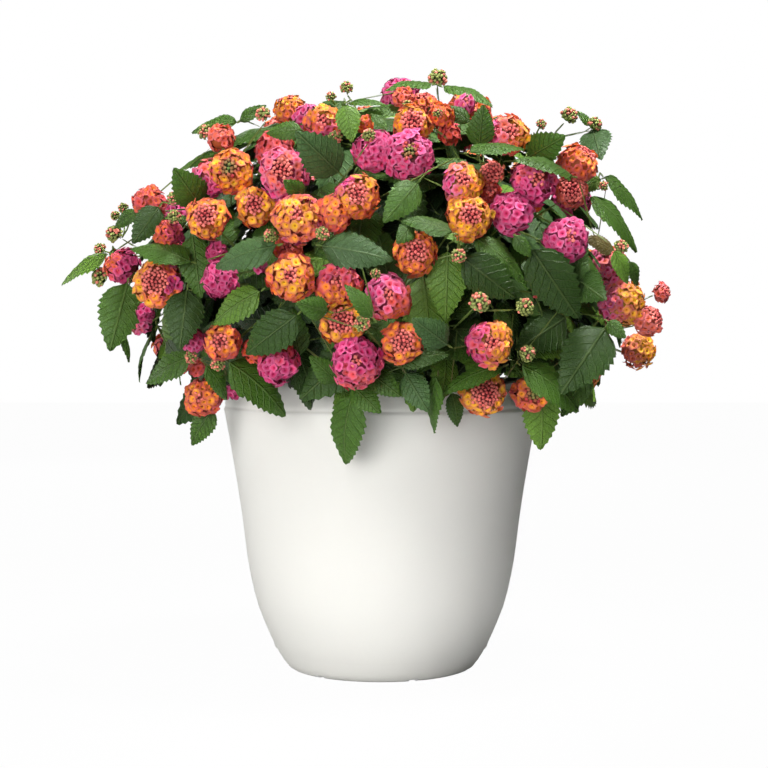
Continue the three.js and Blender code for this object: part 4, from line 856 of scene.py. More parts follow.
def floret_shape(lobes):
    """An open floret of this many lobes, 1 across: points, faces, and how far out each one is."""
    turns, lobe_shape = lobes * LOBE_POINTS, LOBE_SHAPE
    points, out = [np.array([0, 0, THROAT_DEPTH])], [0.0]
    for share, height in FLORET_RINGS:
        for k in range(turns):
            a = 2 * math.pi * (k + 0.5) / turns
            lobe = abs(math.cos(lobes * a / 2)) ** lobe_shape["round"]
            reach = share * (1 - lobe_shape["notch"] * (1 - lobe) * share ** 2)
            lift = (-lobe_shape["fold"] * share ** 2 * (1 - lobe)
                    - lobe_shape["droop"] * share ** 3 * lobe
                    + lobe_shape["tilt"] * share * math.cos(a + lobe_shape["from"]))
            points.append(np.array([math.cos(a) * reach, math.sin(a) * reach, height + lift]))
            out.append(share)
    faces = [(0, 1 + k, 1 + (k + 1) % turns) for k in range(turns)]
    faces += grid_faces(len(FLORET_RINGS) - 1, turns, start=1, flip=True)
    faces += grid_faces(1, TUBE_SIDES, start=len(points))
    for level, wide in FLORET_TUBE:
        for k in range(TUBE_SIDES):
            a = 2 * math.pi * k / TUBE_SIDES
            points.append(np.array([math.cos(a) * wide, math.sin(a) * wide, level]))
            out.append(-1.0)
    return np.array(points), faces, np.array(out)


FLORETS = [floret_shape(lobes) for lobes in (4, 4, 5)]
# A bud of size 1 is square: height, half width and shade of its rings, painted shade at its base and
# painted light at its tip.
BUD_RINGS = ((-1.0, 0.5, 0.22), (0.0, 0.92, 0.75), (0.55, 0.5, 1.2))
SQUARE = ((-1, -1), (1, -1), (1, 1), (-1, 1))
BUD_POINTS = np.array([[x * half, y * half, z] for z, half, _ in BUD_RINGS for x, y in SQUARE])
BUD_FACES = grid_faces(len(BUD_RINGS) - 1, len(SQUARE)) + [(8, 9, 10, 11)]
BUD_PAINTED_LIGHT_AND_SHADE = [shade for _, _, shade in BUD_RINGS for _ in SQUARE]

VIEW_SIDE = np.array([1.0, 0, 0])
# Angles from a head's top, in degrees: where its florets end, and where its last colour is full.
UNDERSIDE, LAST_COLOUR = 146, 112
SLOPE = 0.55  # how fast colours that run across a head change, from its middle
FRONT_SPIN = 0.4  # how far a head that is turned to the front is spun, in radians
# The space between florets and a floret's size: on a full head, a small one and one behind.
FULL, SMALL, BEHIND = (6.4, 4.3), (5.8, 3.8), (6.0, 4.0)
PACKING = 0.87  # the area that a thing takes, as a share of the square of its spacing
# What shows between florets, and between a bud head's buds: a dark ball of painted shade with its
# share of the radius.
BALL_RINGS, BALL_TURNS, BALL_END, CORE, BUD_CORE = 9, 12, 178, 0.8, 0.6
# The core's tint, darkened as painted shade: the head's colour at this share of the way, how much of
# it, and how much green. Under the buds it is darker green or red, and a bud head's is a dark green:
# painted shade too.
CORE_AT, CORE_PAINTED_SHADE, CORE_GREEN = 0.8, 0.42, 0.04
UNDER_BUDS_SHADE_GREEN, UNDER_BUDS_SHADE_RED, BUD_CORE_SHADE_GREEN = 0.12, 0.3, 0.16
# For each floret, bud and bract: the least value and span of what is drawn, and widths of shifts.
# Angles are in degrees; a bud head's sizes and its bracts' places are shares of its radius.
FLORET = {
    "bright": (0.64, 0.36), "size": (0.86, 0.3), "reach": (0.85, 0.17), "colour_shift": 0.5,
    "angle_shift": 12, "turn_shift": 14, "lean": 0.95, "spin": 1.6, "swell": 0.06, "swells": 3,
}
MIDDLE_BUD = {
    "spacing": 3.6, "rise": (0.85, 0.1), "shade": (0.75, 0.5), "size": (1.25, 0.35), "shift": 0.4,
}
BUD_HEAD = {
    "end": 125, "spacing": 0.47, "least_spacing": 2.3, "ripe": 0.85, "unripe": 0.1,
    "unripe_share": 0.68,
    "shade": (0.8, 0.5), "rise": (0.78, 0.26), "shift": 14, "size": (0.17, 0.04), "tall": 1.5,
}
BRACTS = {"count": 6, "angle": 118, "shift": 20, "below": 0.75, "out": 1.02, "up": 0.2,
          "width": 0.42}


def scatter(low, high, spacing, radius, seed):
    """Even directions on a cap between two angles from its axis, in degrees."""
    top, base = math.cos(math.radians(low)), math.cos(math.radians(high))
    area = 2 * math.pi * radius ** 2 * (top - base)
    count = max(int(area / (PACKING * spacing ** 2)), 1)
    turn = 360 * chance(seed)
    out = []
    for k in range(count):
        height = top - (k + 0.5) / count * (top - base)
        out.append((math.degrees(math.acos(height)), turn + k * GOLDEN))
    return out


def colour_at(names, share, table):
    """The colour at this share of the way through these names of a table."""
    stops = np.array([table[name] for name in names])
    at = np.linspace(0, 1, len(stops)) if len(stops) > 1 else np.array([0.5])
    return np.array([np.interp(share, at, stops[:, k]) for k in range(3)])


def to_front(head, share):
    """The same head with its middle turned towards the front by this share."""
    front = unit(STANDPOINT - head["centre"])
    facing = unit(head["facing"] * (1 - share) + front * share)
    return head_frame(head["centre"], facing, head["radius"], FRONT_SPIN)


def head_axes(head, angle, turn):
    """The way out at an angle from a head's top and a turn round it, and two square to it."""
    a, t = math.radians(angle), math.radians(turn)
    flat = head["side"] * math.cos(t) + head["other"] * math.sin(t)
    direction = head["facing"] * math.cos(a) + flat * math.sin(a)
    one = unit(head["facing"] * -math.sin(a) + flat * math.cos(a))
    return direction, one, np.cross(direction, one)


def on_head(head, direction, share):
    """The point this way from a head's centre, at this share of its radius."""
    return head["centre"] + direction * (head["radius"] * share)


def set_on(points, direction, one, two):
    """Points turned so that their upright axis runs in this direction."""
    return points[:, :1] * one + points[:, 1:2] * two + points[:, 2:] * direction


def add_ball(batch, head, share, tint, shaded=0, middle=None):
    """What is seen between the florets: a ball in a tint of painted shade, of another tint of
    painted shade within this angle of its top.
    """
    points, tints = [], []
    for i in range(BALL_RINGS + 1):
        angle = BALL_END * i / BALL_RINGS
        for j in range(BALL_TURNS):
            direction, _, _ = head_axes(head, angle, 360 * j / BALL_TURNS)
            points.append(on_head(head, direction, share))
            tints.append(middle if angle < shaded else tint)
    batch.add(points, grid_faces(BALL_RINGS, BALL_TURNS, flip=True), tints)


def add_bud(batch, head, angle, turn, share, size, tint, seed, tall=1.0):
    """An unopened bud, square and blunt, with painted shade at its base and painted light at its
    tip.
    """
    direction, one, two = head_axes(head, angle, turn)
    spin = math.pi * chance(seed)
    one, two = (one * math.cos(spin) + two * math.sin(spin),
                two * math.cos(spin) - one * math.sin(spin))
    placed = on_head(head, direction, share) + set_on(BUD_POINTS, direction * tall, one, two) * size
    # Painted shade on the base ring, painted light on the tip ring.
    batch.add(placed, BUD_FACES, [tint * shade for shade in BUD_PAINTED_LIGHT_AND_SHADE])


def add_middle_buds(batch, head, edge, tight, ripest, seed):
    """The unopened buds in a head's middle, riper towards the florets."""
    buds = scatter(0, edge, MIDDLE_BUD["spacing"], head["radius"], seed + 1)
    for k, (angle, turn) in enumerate(buds):
        ripe = min(angle / edge + jitter(MIDDLE_BUD["shift"], seed + 31 * k), 1)
        tint = (tight * (1 - ripe) + ripest * ripe) * drawn(MIDDLE_BUD["shade"], seed + 17 * k)
        rise = drawn(MIDDLE_BUD["rise"], seed + 23 * k)
        least, more = MIDDLE_BUD["size"]
        add_bud(batch, head, angle, turn, rise, least + more * ripe, tint, seed + k)


def floret_tints(inner, rim, out):
    """A floret's tints, from its tube, darkened as painted shade, and its throat out to its rim."""
    share, least = TUBE_PAINTED_SHADE
    inner_share, rim_share = MIDDLE_MIX
    stops = np.array([inner * share + least, inner * THROAT_TINT, inner * INNER_BRIGHT,
                      inner_share * inner + rim_share * rim, rim])
    return np.stack([np.interp(out, TINT_STOPS, stops[:, k]) for k in range(3)], axis=1)


def add_floret(batch, head, place, colours, size, seed, k):
    """An open floret, the k-th of its head, leaning out of its place by chance."""
    angle, turn, (direction, one, two) = place
    up = unit(direction + one * jitter(FLORET["lean"], seed + 11 * k)
              + two * jitter(FLORET["lean"], seed + 13 * k))
    spin = FLORET["spin"] * chance(seed + 15 * k)
    one = squared(unit(one * math.cos(spin) + two * math.sin(spin)), up)
    wave = math.sin(FLORET["swells"] * math.radians(turn) + seed) * math.sin(math.radians(angle))
    reach = drawn(FLORET["reach"], seed + 19 * k) + FLORET["swell"] * wave
    points, faces, out = FLORETS[k % len(FLORETS)]
    placed = on_head(head, direction, reach) + set_on(points, up, one, np.cross(up, one)) * size
    batch.add(placed, faces, floret_tints(*colours, out))


def add_head(batch, head, look, seed, fineness=FULL):
    """A head: a core darkened as painted shade, open florets on it, and unopened buds in its middle.
    """
    names, way, first = look[0].split(), look[1], 90 * look[2]
    green = len(look) > 3
    # Painted shade: the core is a darker share of the head's colour, and darker still under the
    # middle buds.
    shaded_core = colour_at(names, CORE_AT, PETAL) * CORE_PAINTED_SHADE + PETAL["green"] * CORE_GREEN
    middle = PETAL["green"] * UNDER_BUDS_SHADE_GREEN if green else BUD_DEEP * UNDER_BUDS_SHADE_RED
    add_ball(batch, head, CORE, shaded_core, first, middle)
    if first:
        tight, ripest = (PETAL["green"], BUD_DEEP) if green else (BUD_DEEP, BUD_RIPE)
        add_middle_buds(batch, head, first, tight, ripest, seed)
    spacing, size = fineness
    for k, (angle, turn) in enumerate(scatter(first, UNDERSIDE, spacing, head["radius"], seed)):
        axes = head_axes(head, angle + jitter(FLORET["angle_shift"], seed + 3 * k),
                         turn + jitter(FLORET["turn_shift"], seed + k))
        if way == "out":
            share = (angle - first) / (LAST_COLOUR - first)
        else:
            a = math.radians(way)
            direction, _, _ = axes
            share = 0.5 + SLOPE * (direction @ (VIEW_SIDE * math.cos(a) + UP * math.sin(a)))
        share = min(max(share + jitter(FLORET["colour_shift"], seed + 5 * k), 0), 1)
        bright = drawn(FLORET["bright"], seed + 7 * k)
        colours = [colour_at(names, share, table) * bright for table in (PETAL, RIM)]
        floret_size = size * drawn(FLORET["size"], seed + 9 * k)
        add_floret(batch, head, (angle, turn, axes), colours, floret_size, seed, k)


def add_bracts(batch, head, seed):
    """The small leaves under a bud head."""
    radius = head["radius"]
    for k in range(BRACTS["count"]):
        turn = 360 / BRACTS["count"] * k + BRACTS["shift"] * chance(seed + k)
        direction, _, _ = head_axes(head, BRACTS["angle"], turn)
        base = on_head(head, head["facing"], -BRACTS["below"])
        tip = on_head(head, direction, BRACTS["out"]) + head["facing"] * (BRACTS["up"] * radius)
        run = unit(tip - base)
        leaf = {"base": base, "tip": tip, "width": BRACTS["width"] * radius,
                "normal": squared(direction, run)}
        add_blade(batch, leaf, LEAF["light"], seed + k, teeth=2, columns=1, quilt=0)


def add_bud_head(batch, head, seed):
    """A tight green head on a dark green ball of painted shade: small square buds, coral where they
    are about to open, and bracts.
    """
    radius = head["radius"]
    # Painted shade: a dark green ball between the buds.
    add_ball(batch, head, BUD_CORE, PETAL["green"] * BUD_CORE_SHADE_GREEN)
    spacing = max(BUD_HEAD["spacing"] * radius, BUD_HEAD["least_spacing"])
    for k, (angle, turn) in enumerate(scatter(0, BUD_HEAD["end"], spacing, radius, seed)):
        ripe = BUD_HEAD["ripe" if chance(seed + 3 * k) > BUD_HEAD["unripe_share"] else "unripe"]
        tint = PETAL["green"] * (1 - ripe) + BUD_RIPE * ripe
        tint = tint * drawn(BUD_HEAD["shade"], seed + 7 * k)
        rise = drawn(BUD_HEAD["rise"], seed + 5 * k)
        angle = angle + jitter(BUD_HEAD["shift"], seed + 9 * k)
        size = drawn(BUD_HEAD["size"], seed + 8 * k) * radius
        add_bud(batch, head, angle, turn, rise, size, tint, seed + k, BUD_HEAD["tall"])
    add_bracts(batch, head, seed)


# ---- the stems and all they carry

STEMS = sorted(n for n in frame["nodes"] if n.startswith("leafy_stem"))
BLOOMS = sorted(n for n in frame["nodes"] if n.startswith("flower"))
stems, blooms = Solid(STEMS), Solid(BLOOMS)
corners = {name: corners_of(name) for name in STEMS}
covered = {name: [] for name in STEMS}  # for each finer piece, the solid's corners that it covers
slot_of = {part["node"]: part["material_slot"] for part in frame["record"]["subparts"]}
leaf_batches = {name: Batch() for name in STEMS}
small_batches = {name: Batch() for name in STEMS}
bloom_batches = {}
heads = []  # all but the tiniest

BACK_LOOKS = {
    "orange": ("amber orange brick", "out", 0.4), "magenta": ("pink magenta", "out", 0.15),
    "yellow": ("yellow amber orange", "out", 0.42), "coral": ("amber salmon pink", "out", 0.2),
}
BACK_LOOK_LIST = list(BACK_LOOKS.values())
TONES = ("mid", "mid", "dark", "mid", "light", "dark", "blue")
FRONT_SHARE = 0.7  # how far a surveyed head with no facing of its own turns to the front
# A solid's corner counts as a blade's in these shares of its length and half width, and this near
# its surface; it counts as a small head's within this share of its radius.
COVER = {"from": -0.03, "to": 1.05, "aside": 1.1, "off": 2.5, "ball": 1.03}
SPIRAL_HITS = 5  # more corners than this speak for a small head on the spiral
# Where each kind of thing starts its random draws, and how far apart two of its kind start.
DRAWS = {
    "head": (1000, 100), "small": (5000, 50), "bud": (3000, 50), "spiral": (7000, 50),
    "back": (8000, 50), "tiny_bud": (6000, 40), "leaf": (100, 3), "ring": (900, 5),
    "spread": (1300, 5), "filler": (2000, 3), "tiny_leaf": (4000, 1),
}


def seed_of(kind, index):
    """Where the random draws of a thing start."""
    first, step = DRAWS[kind]
    return first + step * index


def cover_blade(name, leaf):
    """Marks the corners of a stem's solid that a blade stands for."""
    length, axis, side = blade_frame(leaf)
    half = leaf["width"] / 2
    from_base = corners[name] - leaf["base"]
    s, v = from_base @ axis / length, from_base @ side / half
    off = np.abs(from_base @ leaf["normal"] - blade_bow(length, half, s, v))
    covered[name].append((s > COVER["from"]) & (s < COVER["to"]) & (np.abs(v) < COVER["aside"])
                         & (off < COVER["off"]))


def cover_ball(name, head):
    """Marks the corners of a stem's solid that a small head stands for."""
    off = np.linalg.norm(corners[name] - head["centre"], axis=1)
    covered[name].append(off < COVER["ball"] * head["radius"])


def grow_head(index, key, row):
    """A surveyed open head, in the piece of the node that it has alone or in a cluster."""
    members = next((members for members in CLUSTERS if key in members), (key,))
    face = sum(canopy_depth(*HEADS[member][:2]) for member in members) / len(members)
    head = surveyed_head(row, index, face)
    if not row[4]:
        head = to_front(head, FRONT_SHARE)
    kind = "flower_cluster_" if len(members) > 1 else "flower_head_"
    name = kind + "_".join(member[1:] for member in members)
    add_head(bloom_batches.setdefault(name, Batch()), head, row[5], seed_of("head", index))
    heads.append(head)


def grow_small_head(row, seed, keys_of):
    """A surveyed small head or bud head where the solids have it, and its stem."""
    face = canopy_depth(row[0], row[1])
    options = [surveyed_head((*row, None), seed, face + shift) for shift in SMALL_SHIFTS]
    head, hits = stems.best(options, keys_of)
    if not head:
        return None, None
    name = stems.owner_of(hits)
    cover_ball(name, head)
    heads.append(head)
    return head, small_batches[name]


def grow_spiral_head(k):
    """The head that the solids have at this place of the spiral, large or small, if any."""
    head = spiral_head(k, SPIRAL_RADIUS)
    hits = blooms.found(small_dome_points(head, BIG_FLORETS)[:1])
    if hits:
        name = blooms.owner_of(hits)
        batch = bloom_batches.setdefault(name, Batch())
        add_head(batch, head, BACK_LOOKS[slot_of[name]], seed_of("spiral", k))
        return [head]
    head = spiral_head(k, SPIRAL_SMALL)
    hits = stems.found(small_dome_points(head, SMALL_FLORETS))
    if len(hits) <= SPIRAL_HITS:
        return []
    name = stems.owner_of(hits)
    cover_ball(name, head)
    look = BACK_LOOK_LIST[k % len(BACK_LOOK_LIST)]
    add_head(small_batches[name], head, look, seed_of("spiral", k), BEHIND)
    return [head]


for index, (key, row) in enumerate(HEADS.items()):
    grow_head(index, key, row)
for index, row in enumerate(SMALL_HEADS):
    head, batch = grow_small_head(row, SEED_SMALL + index, small_dome_points)
    if head:
        head = head if row[4] else to_front(head, FRONT_SHARE)
        add_head(batch, head, row[5], seed_of("small", index), SMALL)
for index, row in enumerate(BUDS):
    head, batch = grow_small_head(row, SEED_BUD + index, bud_points)
    if head:
        add_bud_head(batch, head, seed_of("bud", index))
spiral_heads = [head for k in range(PLACES) for head in grow_spiral_head(k)]
heads += spiral_heads

# Further heads between those on the spiral, a little smaller. In degrees: their turn against the
# spiral, how far round from the front they start ("beside") and reach out more ("edge", "behind"),
# and the elevation above which they sit all round ("on_top"), but not in front of y = "front".
# Then their size and spin, how far they sink in, the room round them, and their stalks.
MORE = {
    "places": 130, "turn": 61, "beside": 84, "edge": 90, "behind": 106, "on_top": 60, "front": -5,
    "size": (10.5, 4.5), "spin": 6, "sunk": 0.6, "room": 6, "root": 12, "bend": 9, "stalk": 0.95,
}
MORE_SHARES = {"top": 0.88, "behind": 0.93, "side": 0.89, "edge": 0.84}


def wrapped(azimuth):
    """An azimuth between -180 and 180 degrees."""
    return math.fmod(azimuth + 540, 360) - 180


def more_share(azimuth, elevation):
    """How far out in the canopy a further head sits."""
    if elevation > MORE["on_top"]:
        return MORE_SHARES["top"]
    if abs(azimuth) > MORE["behind"]:
        return MORE_SHARES["behind"]
    return MORE_SHARES["side" if abs(azimuth) > MORE["edge"] else "edge"]


def add_back_head(k):
    """A smaller head between the others, out of the surveyed side, on the nearest stalk."""
    azimuth, elevation = spiral_way(k, MORE["places"])
    azimuth = wrapped(azimuth + MORE["turn"])
    if abs(azimuth) < MORE["beside"] and elevation < MORE["on_top"]:
        return
    size = drawn(MORE["size"], k + 71)
    way = heading(azimuth, elevation)
    centre = canopy_point(way, more_share(azimuth, elevation)) - way * (MORE["sunk"] * size)
    if elevation > MORE["on_top"] and centre[1] < MORE["front"]:
        return
    room = min(np.linalg.norm(centre - other["centre"]) - other["radius"] for other in heads)
    if room < size + MORE["room"]:
        return
    head = head_frame(centre, outward(centre), size, MORE["spin"] * chance(k))
    look = BACK_LOOK_LIST[(k * 3) % len(BACK_LOOK_LIST)]
    _, nearest, _ = stems.tree.find(centre - head["facing"] * (size + MORE["root"]))
    batch = small_batches[stems.owner[nearest]]
    add_head(batch, head, look, seed_of("back", k), BEHIND)
    bend = centre - head["facing"] * (size + MORE["bend"])
    add_petiole(batch, stems.points[nearest], bend, centre, MORE["stalk"], STALK)
    heads.append(head)


for k in range(MORE["places"]):
    add_back_head(k)


def grow_leaf(options, tone, seed):
    """The leaf that the solids have among these options, in full detail on its stem."""
    leaf, hits = stems.best(options, blade_keys)
    if leaf:
        name = stems.owner_of(hits)
        cover_blade(name, leaf)
        add_blade(leaf_batches[name], leaf, LEAF[tone], seed)


for index, row in enumerate(LEAVES):
    options = [surveyed_leaf(row, shift, twist) for twist in TWISTS for shift in SHIFTS]
    grow_leaf(options, row[6], seed_of("leaf", index))
for ring in range(RING["leaves"]):
    for index, head in enumerate(spiral_heads):
        options = [ring_leaf(head, ring, turn, inset) for inset in INSETS for turn in TURNS]
        grow_leaf(options, TONES[(3 * index + ring) % len(TONES)], seed_of("ring", index) + ring)
for k in range(SPREAD["places"]):
    options = [spread_leaf(k, share, turn) for share in SPREAD["shares"]
               for turn in SPREAD["turns"]]
    grow_leaf(options, TONES[k % len(TONES)], seed_of("spread", k))


# ---- fillers: the inner and back foliage

# How many fillers there are, how far off a stalk one may start, how often it tries, how it lies,
# and its petiole, whose tint is darkened as painted shade.
FILLER = {
    "places": 620, "farthest": 75, "tries": 6, "rise": (-0.1, 0.5), "sag": 0.3, "tilt": 0.35,
    "tilt_share": 0.9, "middle": 0.35, "width": (0.56, 0.1), "petiole": 0.75, "shade": 0.8,
    "bend": 10, "overlap": 1.5, "shift": 8, "depth": 0.15, "length": (38, 26),
}
# The fillers' share of the canopy's reach: on the surveyed side, elsewhere, and less than that
# towards the top. On the surveyed side the inner ones are a dark green of painted shade.
FILLER_DEPTH = {"surveyed": 0.68, "other": 0.76, "top": 0.1, "top_from": 40, "top_span": 50,
                "inner": 0.75}
# The leaves deep inside, a dark green of painted shade: how many, where their random draws start,
# and how they lie.
DEEP_FILLER = {"places": 260, "first": 5000, "depth": (0.5, 0.14), "length": 56}
SURVEYED_MARGIN = (8, 6)  # degrees to the side and above that the surveyed side is widened by
MIDDLING, ROUGH = (7, 3), (5, 2)  # a blade's teeth and its columns to each side of the midrib
ROOT_LOWEST = 262  # the height above which a petiole may start from a stalk
# Where a leaf is tried for room, the room it needs to a head, the pot's height and radius, and
# where along it a leaf is widest.
FREE = {"along": (0.05, 0.35, 0.65, 1.0), "across": (-0.8, 0, 0.8), "room": 1.0,
        "pot": (264, 146), "widest": 0.35}
# The young leaves and tiny buds: the depths that a leaf is tried at, and their stalks.
TINY = {"shifts": (0, 6, 12), "stalk": 0.7, "leaf_bend": 6, "bud_bend": 14, "bud_seed": 800}

head_places = np.array([head["centre"] for head in heads])
head_sizes = np.array([head["radius"] for head in heads])
root_points, root_owner = [], []
for name in STEMS:
    bare = corners[name][:, 2] > ROOT_LOWEST
    for group in covered[name]:
        bare &= ~group
    root_points += list(corners[name][bare])
    root_owner += [name] * int(bare.sum())
roots = tree_of(root_points)


def nearest_root(point):
    """The nearest place on a stalk: its stem, where it is and how far off."""
    _, nearest, distance = roots.find(point)
    return root_owner[nearest], root_points[nearest], distance


def is_free(leaf):
    """Whether a leaf keeps off the heads and the pot."""
    length, axis, side = blade_frame(leaf)
    pot_height, pot_radius = FREE["pot"]
    for s in FREE["along"]:
        for v in FREE["across"]:
            wide = v * leaf["width"] / 2 * (1 - abs(s - FREE["widest"]))
            point = leaf["base"] + axis * (s * length) + side * wide
            gaps = np.linalg.norm(head_places - point, axis=1) - head_sizes
            if gaps.min() < FREE["room"]:
                return False
            if point[2] < pot_height and math.hypot(point[0], point[1]) < pot_radius:
                return False
    return True


def filler_leaf(k, attempt, base, length):
    """A filler's leaf, turned anew at each attempt."""
    out = outward(base)
    side = square_to(out)
    angle = 2 * math.pi * chance(k + 41 + 7 * attempt)
    flat = side * math.cos(angle) + np.cross(out, side) * math.sin(angle)
    rise = drawn(FILLER["rise"], k + 43)
    run = unit(flat + out * rise - UP * FILLER["sag"])
    tilt = side * jitter(1, k + 47 + attempt) + UP * FILLER["tilt"]
    normal = squared(unit(out + tilt * FILLER["tilt_share"]), run)
    start = base - run * (FILLER["middle"] * length)
    return leaf_along(start, run, length, normal, drawn(FILLER["width"], k + 53))


def add_filler(k, azimuth, elevation, depth, length, tone, fineness):
    """A leaf at this share of the canopy's reach, on a petiole from the nearest stalk."""
    base = canopy_point(heading(azimuth, elevation), depth)
    name, root, distance = nearest_root(base)
    if distance > FILLER["farthest"]:
        return
    for attempt in range(FILLER["tries"]):
        leaf = filler_leaf(k, attempt, base, length)
        if is_free(leaf):
            batch, start = leaf_batches[name], leaf["base"]
            run = unit(leaf["tip"] - start)
            add_blade(batch, leaf, LEAF[tone], seed_of("filler", k), *fineness)
            # The petiole's stalk tint is darkened as painted shade among the inner leaves.
            add_petiole(batch, root, start - run * FILLER["bend"], start + run * FILLER["overlap"],
                        FILLER["petiole"], STALK * FILLER["shade"])
            return


def add_outer_filler(k):
    """A filler near the canopy's face."""
    azimuth, elevation = spiral_way(k, FILLER["places"])
    azimuth = wrapped(azimuth + jitter(FILLER["shift"], k + 11))
    beside, above = SURVEYED_MARGIN
    surveyed = abs(azimuth) < SURVEYED + beside and elevation < SURVEYED_BELOW + above
    high = max(elevation - FILLER_DEPTH["top_from"], 0) / FILLER_DEPTH["top_span"]
    depth = FILLER_DEPTH["other"] - FILLER_DEPTH["top"] * high
    if surveyed:
        depth = FILLER_DEPTH["surveyed"]
    depth += FILLER["depth"] * chance(k + 21)
    # Inner fillers on the surveyed side take the darkest green: painted shade.
    painted_shade = surveyed and depth < FILLER_DEPTH["inner"]
    add_filler(k, azimuth, elevation, depth, drawn(FILLER["length"], k + 31),
               "painted_shade" if painted_shade else TONES[k % len(TONES)], MIDDLING)


def add_tiny_leaf(index, row):
    """A young leaf that shows between the surveyed ones."""
    options = [surveyed_leaf((*row, 0), shift, 0) for shift in TINY["shifts"]]
    leaf = next((option for option in options if is_free(option)), options[0])
    name, root, _ = nearest_root(leaf["base"])
    add_blade(leaf_batches[name], leaf, LEAF["mid"], seed_of("tiny_leaf", index), *MIDDLING)
    run = unit(leaf["tip"] - leaf["base"])
    add_petiole(leaf_batches[name], root, leaf["base"] - run * TINY["leaf_bend"],
                leaf["base"] + run, TINY["stalk"], STALK)


def add_tiny_bud(index, across, up, radius):
    """A tiny bud head that shows between the surveyed ones."""
    face = canopy_depth(across, up)
    head = surveyed_head((across, up, radius, 0, None), TINY["bud_seed"] + index, face)
    name, root, _ = nearest_root(head["centre"])
    add_bud_head(small_batches[name], head, seed_of("tiny_bud", index))
    bend = head["centre"] - head["facing"] * TINY["bud_bend"]
    add_petiole(small_batches[name], root, bend, head["centre"], TINY["stalk"], STALK)


for k in range(FILLER["places"]):
    add_outer_filler(k)
# The leaves deep inside take the darkest green: painted shade.
for k in range(DEEP_FILLER["places"]):
    depth = drawn(DEEP_FILLER["depth"], k + 61)
    add_filler(DEEP_FILLER["first"] + k, *spiral_way(k, DEEP_FILLER["places"]), depth,
               DEEP_FILLER["length"], "painted_shade", ROUGH)
for index, row in enumerate(TINY_LEAVES):
    add_tiny_leaf(index, row)
for index, row in enumerate(TINY_BUDS):
    add_tiny_bud(index, *row)


# ---- the plant's pieces

WOODY_UP_TO, WOODY_FADE = 245, 60  # the height up to which stems are bark, and the fade above it


def add_stalks(name):
    """What the solid has apart from blades and heads: the stem, its shoots and its petioles."""
    faces = [tuple(polygon.vertices) for polygon in frame["nodes"][name].data.polygons]
    faces = [face for face in faces
             if not any(all(group[v] for v in face) for group in covered[name])]
    kept = sorted({v for face in faces for v in face})
    number = {v: k for k, v in enumerate(kept)}
    points = corners[name][kept]
    green = np.clip((points[:, 2] - WOODY_UP_TO) / WOODY_FADE, 0, 1)[:, None]
    piece = make_piece(name + "_stalks", points * MM, [tuple(number[v] for v in f) for f in faces],
                       BARK * (1 - green) + STALK * green, STALK_LOOK, name)
    smooth = piece.modifiers.new("round", "SUBSURF")
    smooth.levels = smooth.render_levels = 1


for name in STEMS:
    add_stalks(name)
    if leaf_batches[name].count:
        leaf_batches[name].make(name + "_leaves", LEAF_LOOK, "leaf", name)
    if small_batches[name].count:
        small_batches[name].make(name + "_small_heads", PETAL_LOOK, "orange", name)
for name, batch in bloom_batches.items():
    batch.make(name + "_florets", PETAL_LOOK, slot_of[name], name)


# ---- pot and soil

DRAIN_HOLES, DRAIN_RADIUS, DRAIN_CIRCLE, DRAIN_CUT, DRAIN_TURNS = 4, 6, 45, (-2, 6), 24
NOTCHES, NOTCH_FIRST, NOTCH_WIDTH, NOTCH_HEIGHT = 6, 20, 8, 2.4
NOTCH_CIRCLE, NOTCH_LENGTH = 84, 30
POT_TURNS = 144
# The pot's section: radius and height, up the outside, down the inside, and under the base.
OUTER = [
    (76, 0), (79, 0.4), (81.4, 1.2), (84.2, 3), (88.4, 8.5), (92.8, 15.5), (97, 23.5),
    (101.2, 32.5), (105.6, 43), (110.6, 56), (114.2, 68.5), (117.6, 84), (120.2, 98.5),
    (121.9, 111), (123.8, 127), (125.9, 143), (129.1, 164), (132.4, 184), (135.8, 204),
    (138.9, 221), (140.9, 231.6), (141.3, 233.2), (141.2, 234.4), (140.6, 235.4), (140.2, 236.2),
    (140.05, 237), (140.2, 238), (140.2, 239.2), (139.8, 241.2), (136.9, 255.4),
    (136.4, 257.4), (135.4, 259.1), (133.6, 260),
]
INNER = [
    (131.8, 260), (130.4, 259.2), (129.8, 257.5), (129.7, 254), (132.4, 238), (132.2, 230),
    (125, 164), (118.7, 111), (107.4, 56), (96, 20), (82, 4.5), (0.5, 4),
]
BASE = [(0.5, 0.3), (73, 0.3)]
# The soil: its rings and turns, its edge, height and crown, and its lumps and their waves.
SOIL = {
    "rings": 26, "turns": 90, "edge": 131.2, "height": 243.4, "crown": 3.6, "crown_edge": 131,
    "lump": 1.6, "wave": 1.3, "wave_out": 0.09, "wave_round": 3, "shade": (0.75, 0.5),
}
SOIL_SIDES = [(131.2, 239.8), (131.4, 232), (124.6, 164), (118.3, 111), (107, 56), (95.6, 20.4),
              (0.5, 5)]
SOIL_TURNS = 60


def lathe(batch, profile, turns, tint):
    """A body turned about the upright axis through these radii and heights."""
    points = []
    for radius, height in profile:
        for j in range(turns):
            a = 2 * math.pi * j / turns
            points.append((math.cos(a) * radius, math.sin(a) * radius, height))
    batch.add(points, grid_faces(len(profile) - 1, turns), tint)


def prism(outline, low, high):
    """An upright closed body over a level outline, given against the clock: points and faces."""
    sides = len(outline)
    points = [(x, y, z) for z in (low, high) for x, y in outline]
    caps = [tuple(reversed(range(sides))), tuple(range(sides, 2 * sides))]
    return points, caps + grid_faces(1, sides)


def drain_hole(azimuth):
    """The body that a drain hole leaves free."""
    at = heading(azimuth, 0) * DRAIN_CIRCLE
    turns = [2 * math.pi * k / DRAIN_TURNS for k in range(DRAIN_TURNS)]
    circle = [(at[0] + DRAIN_RADIUS * math.cos(a), at[1] + DRAIN_RADIUS * math.sin(a))
              for a in turns]
    return prism(circle, *DRAIN_CUT)


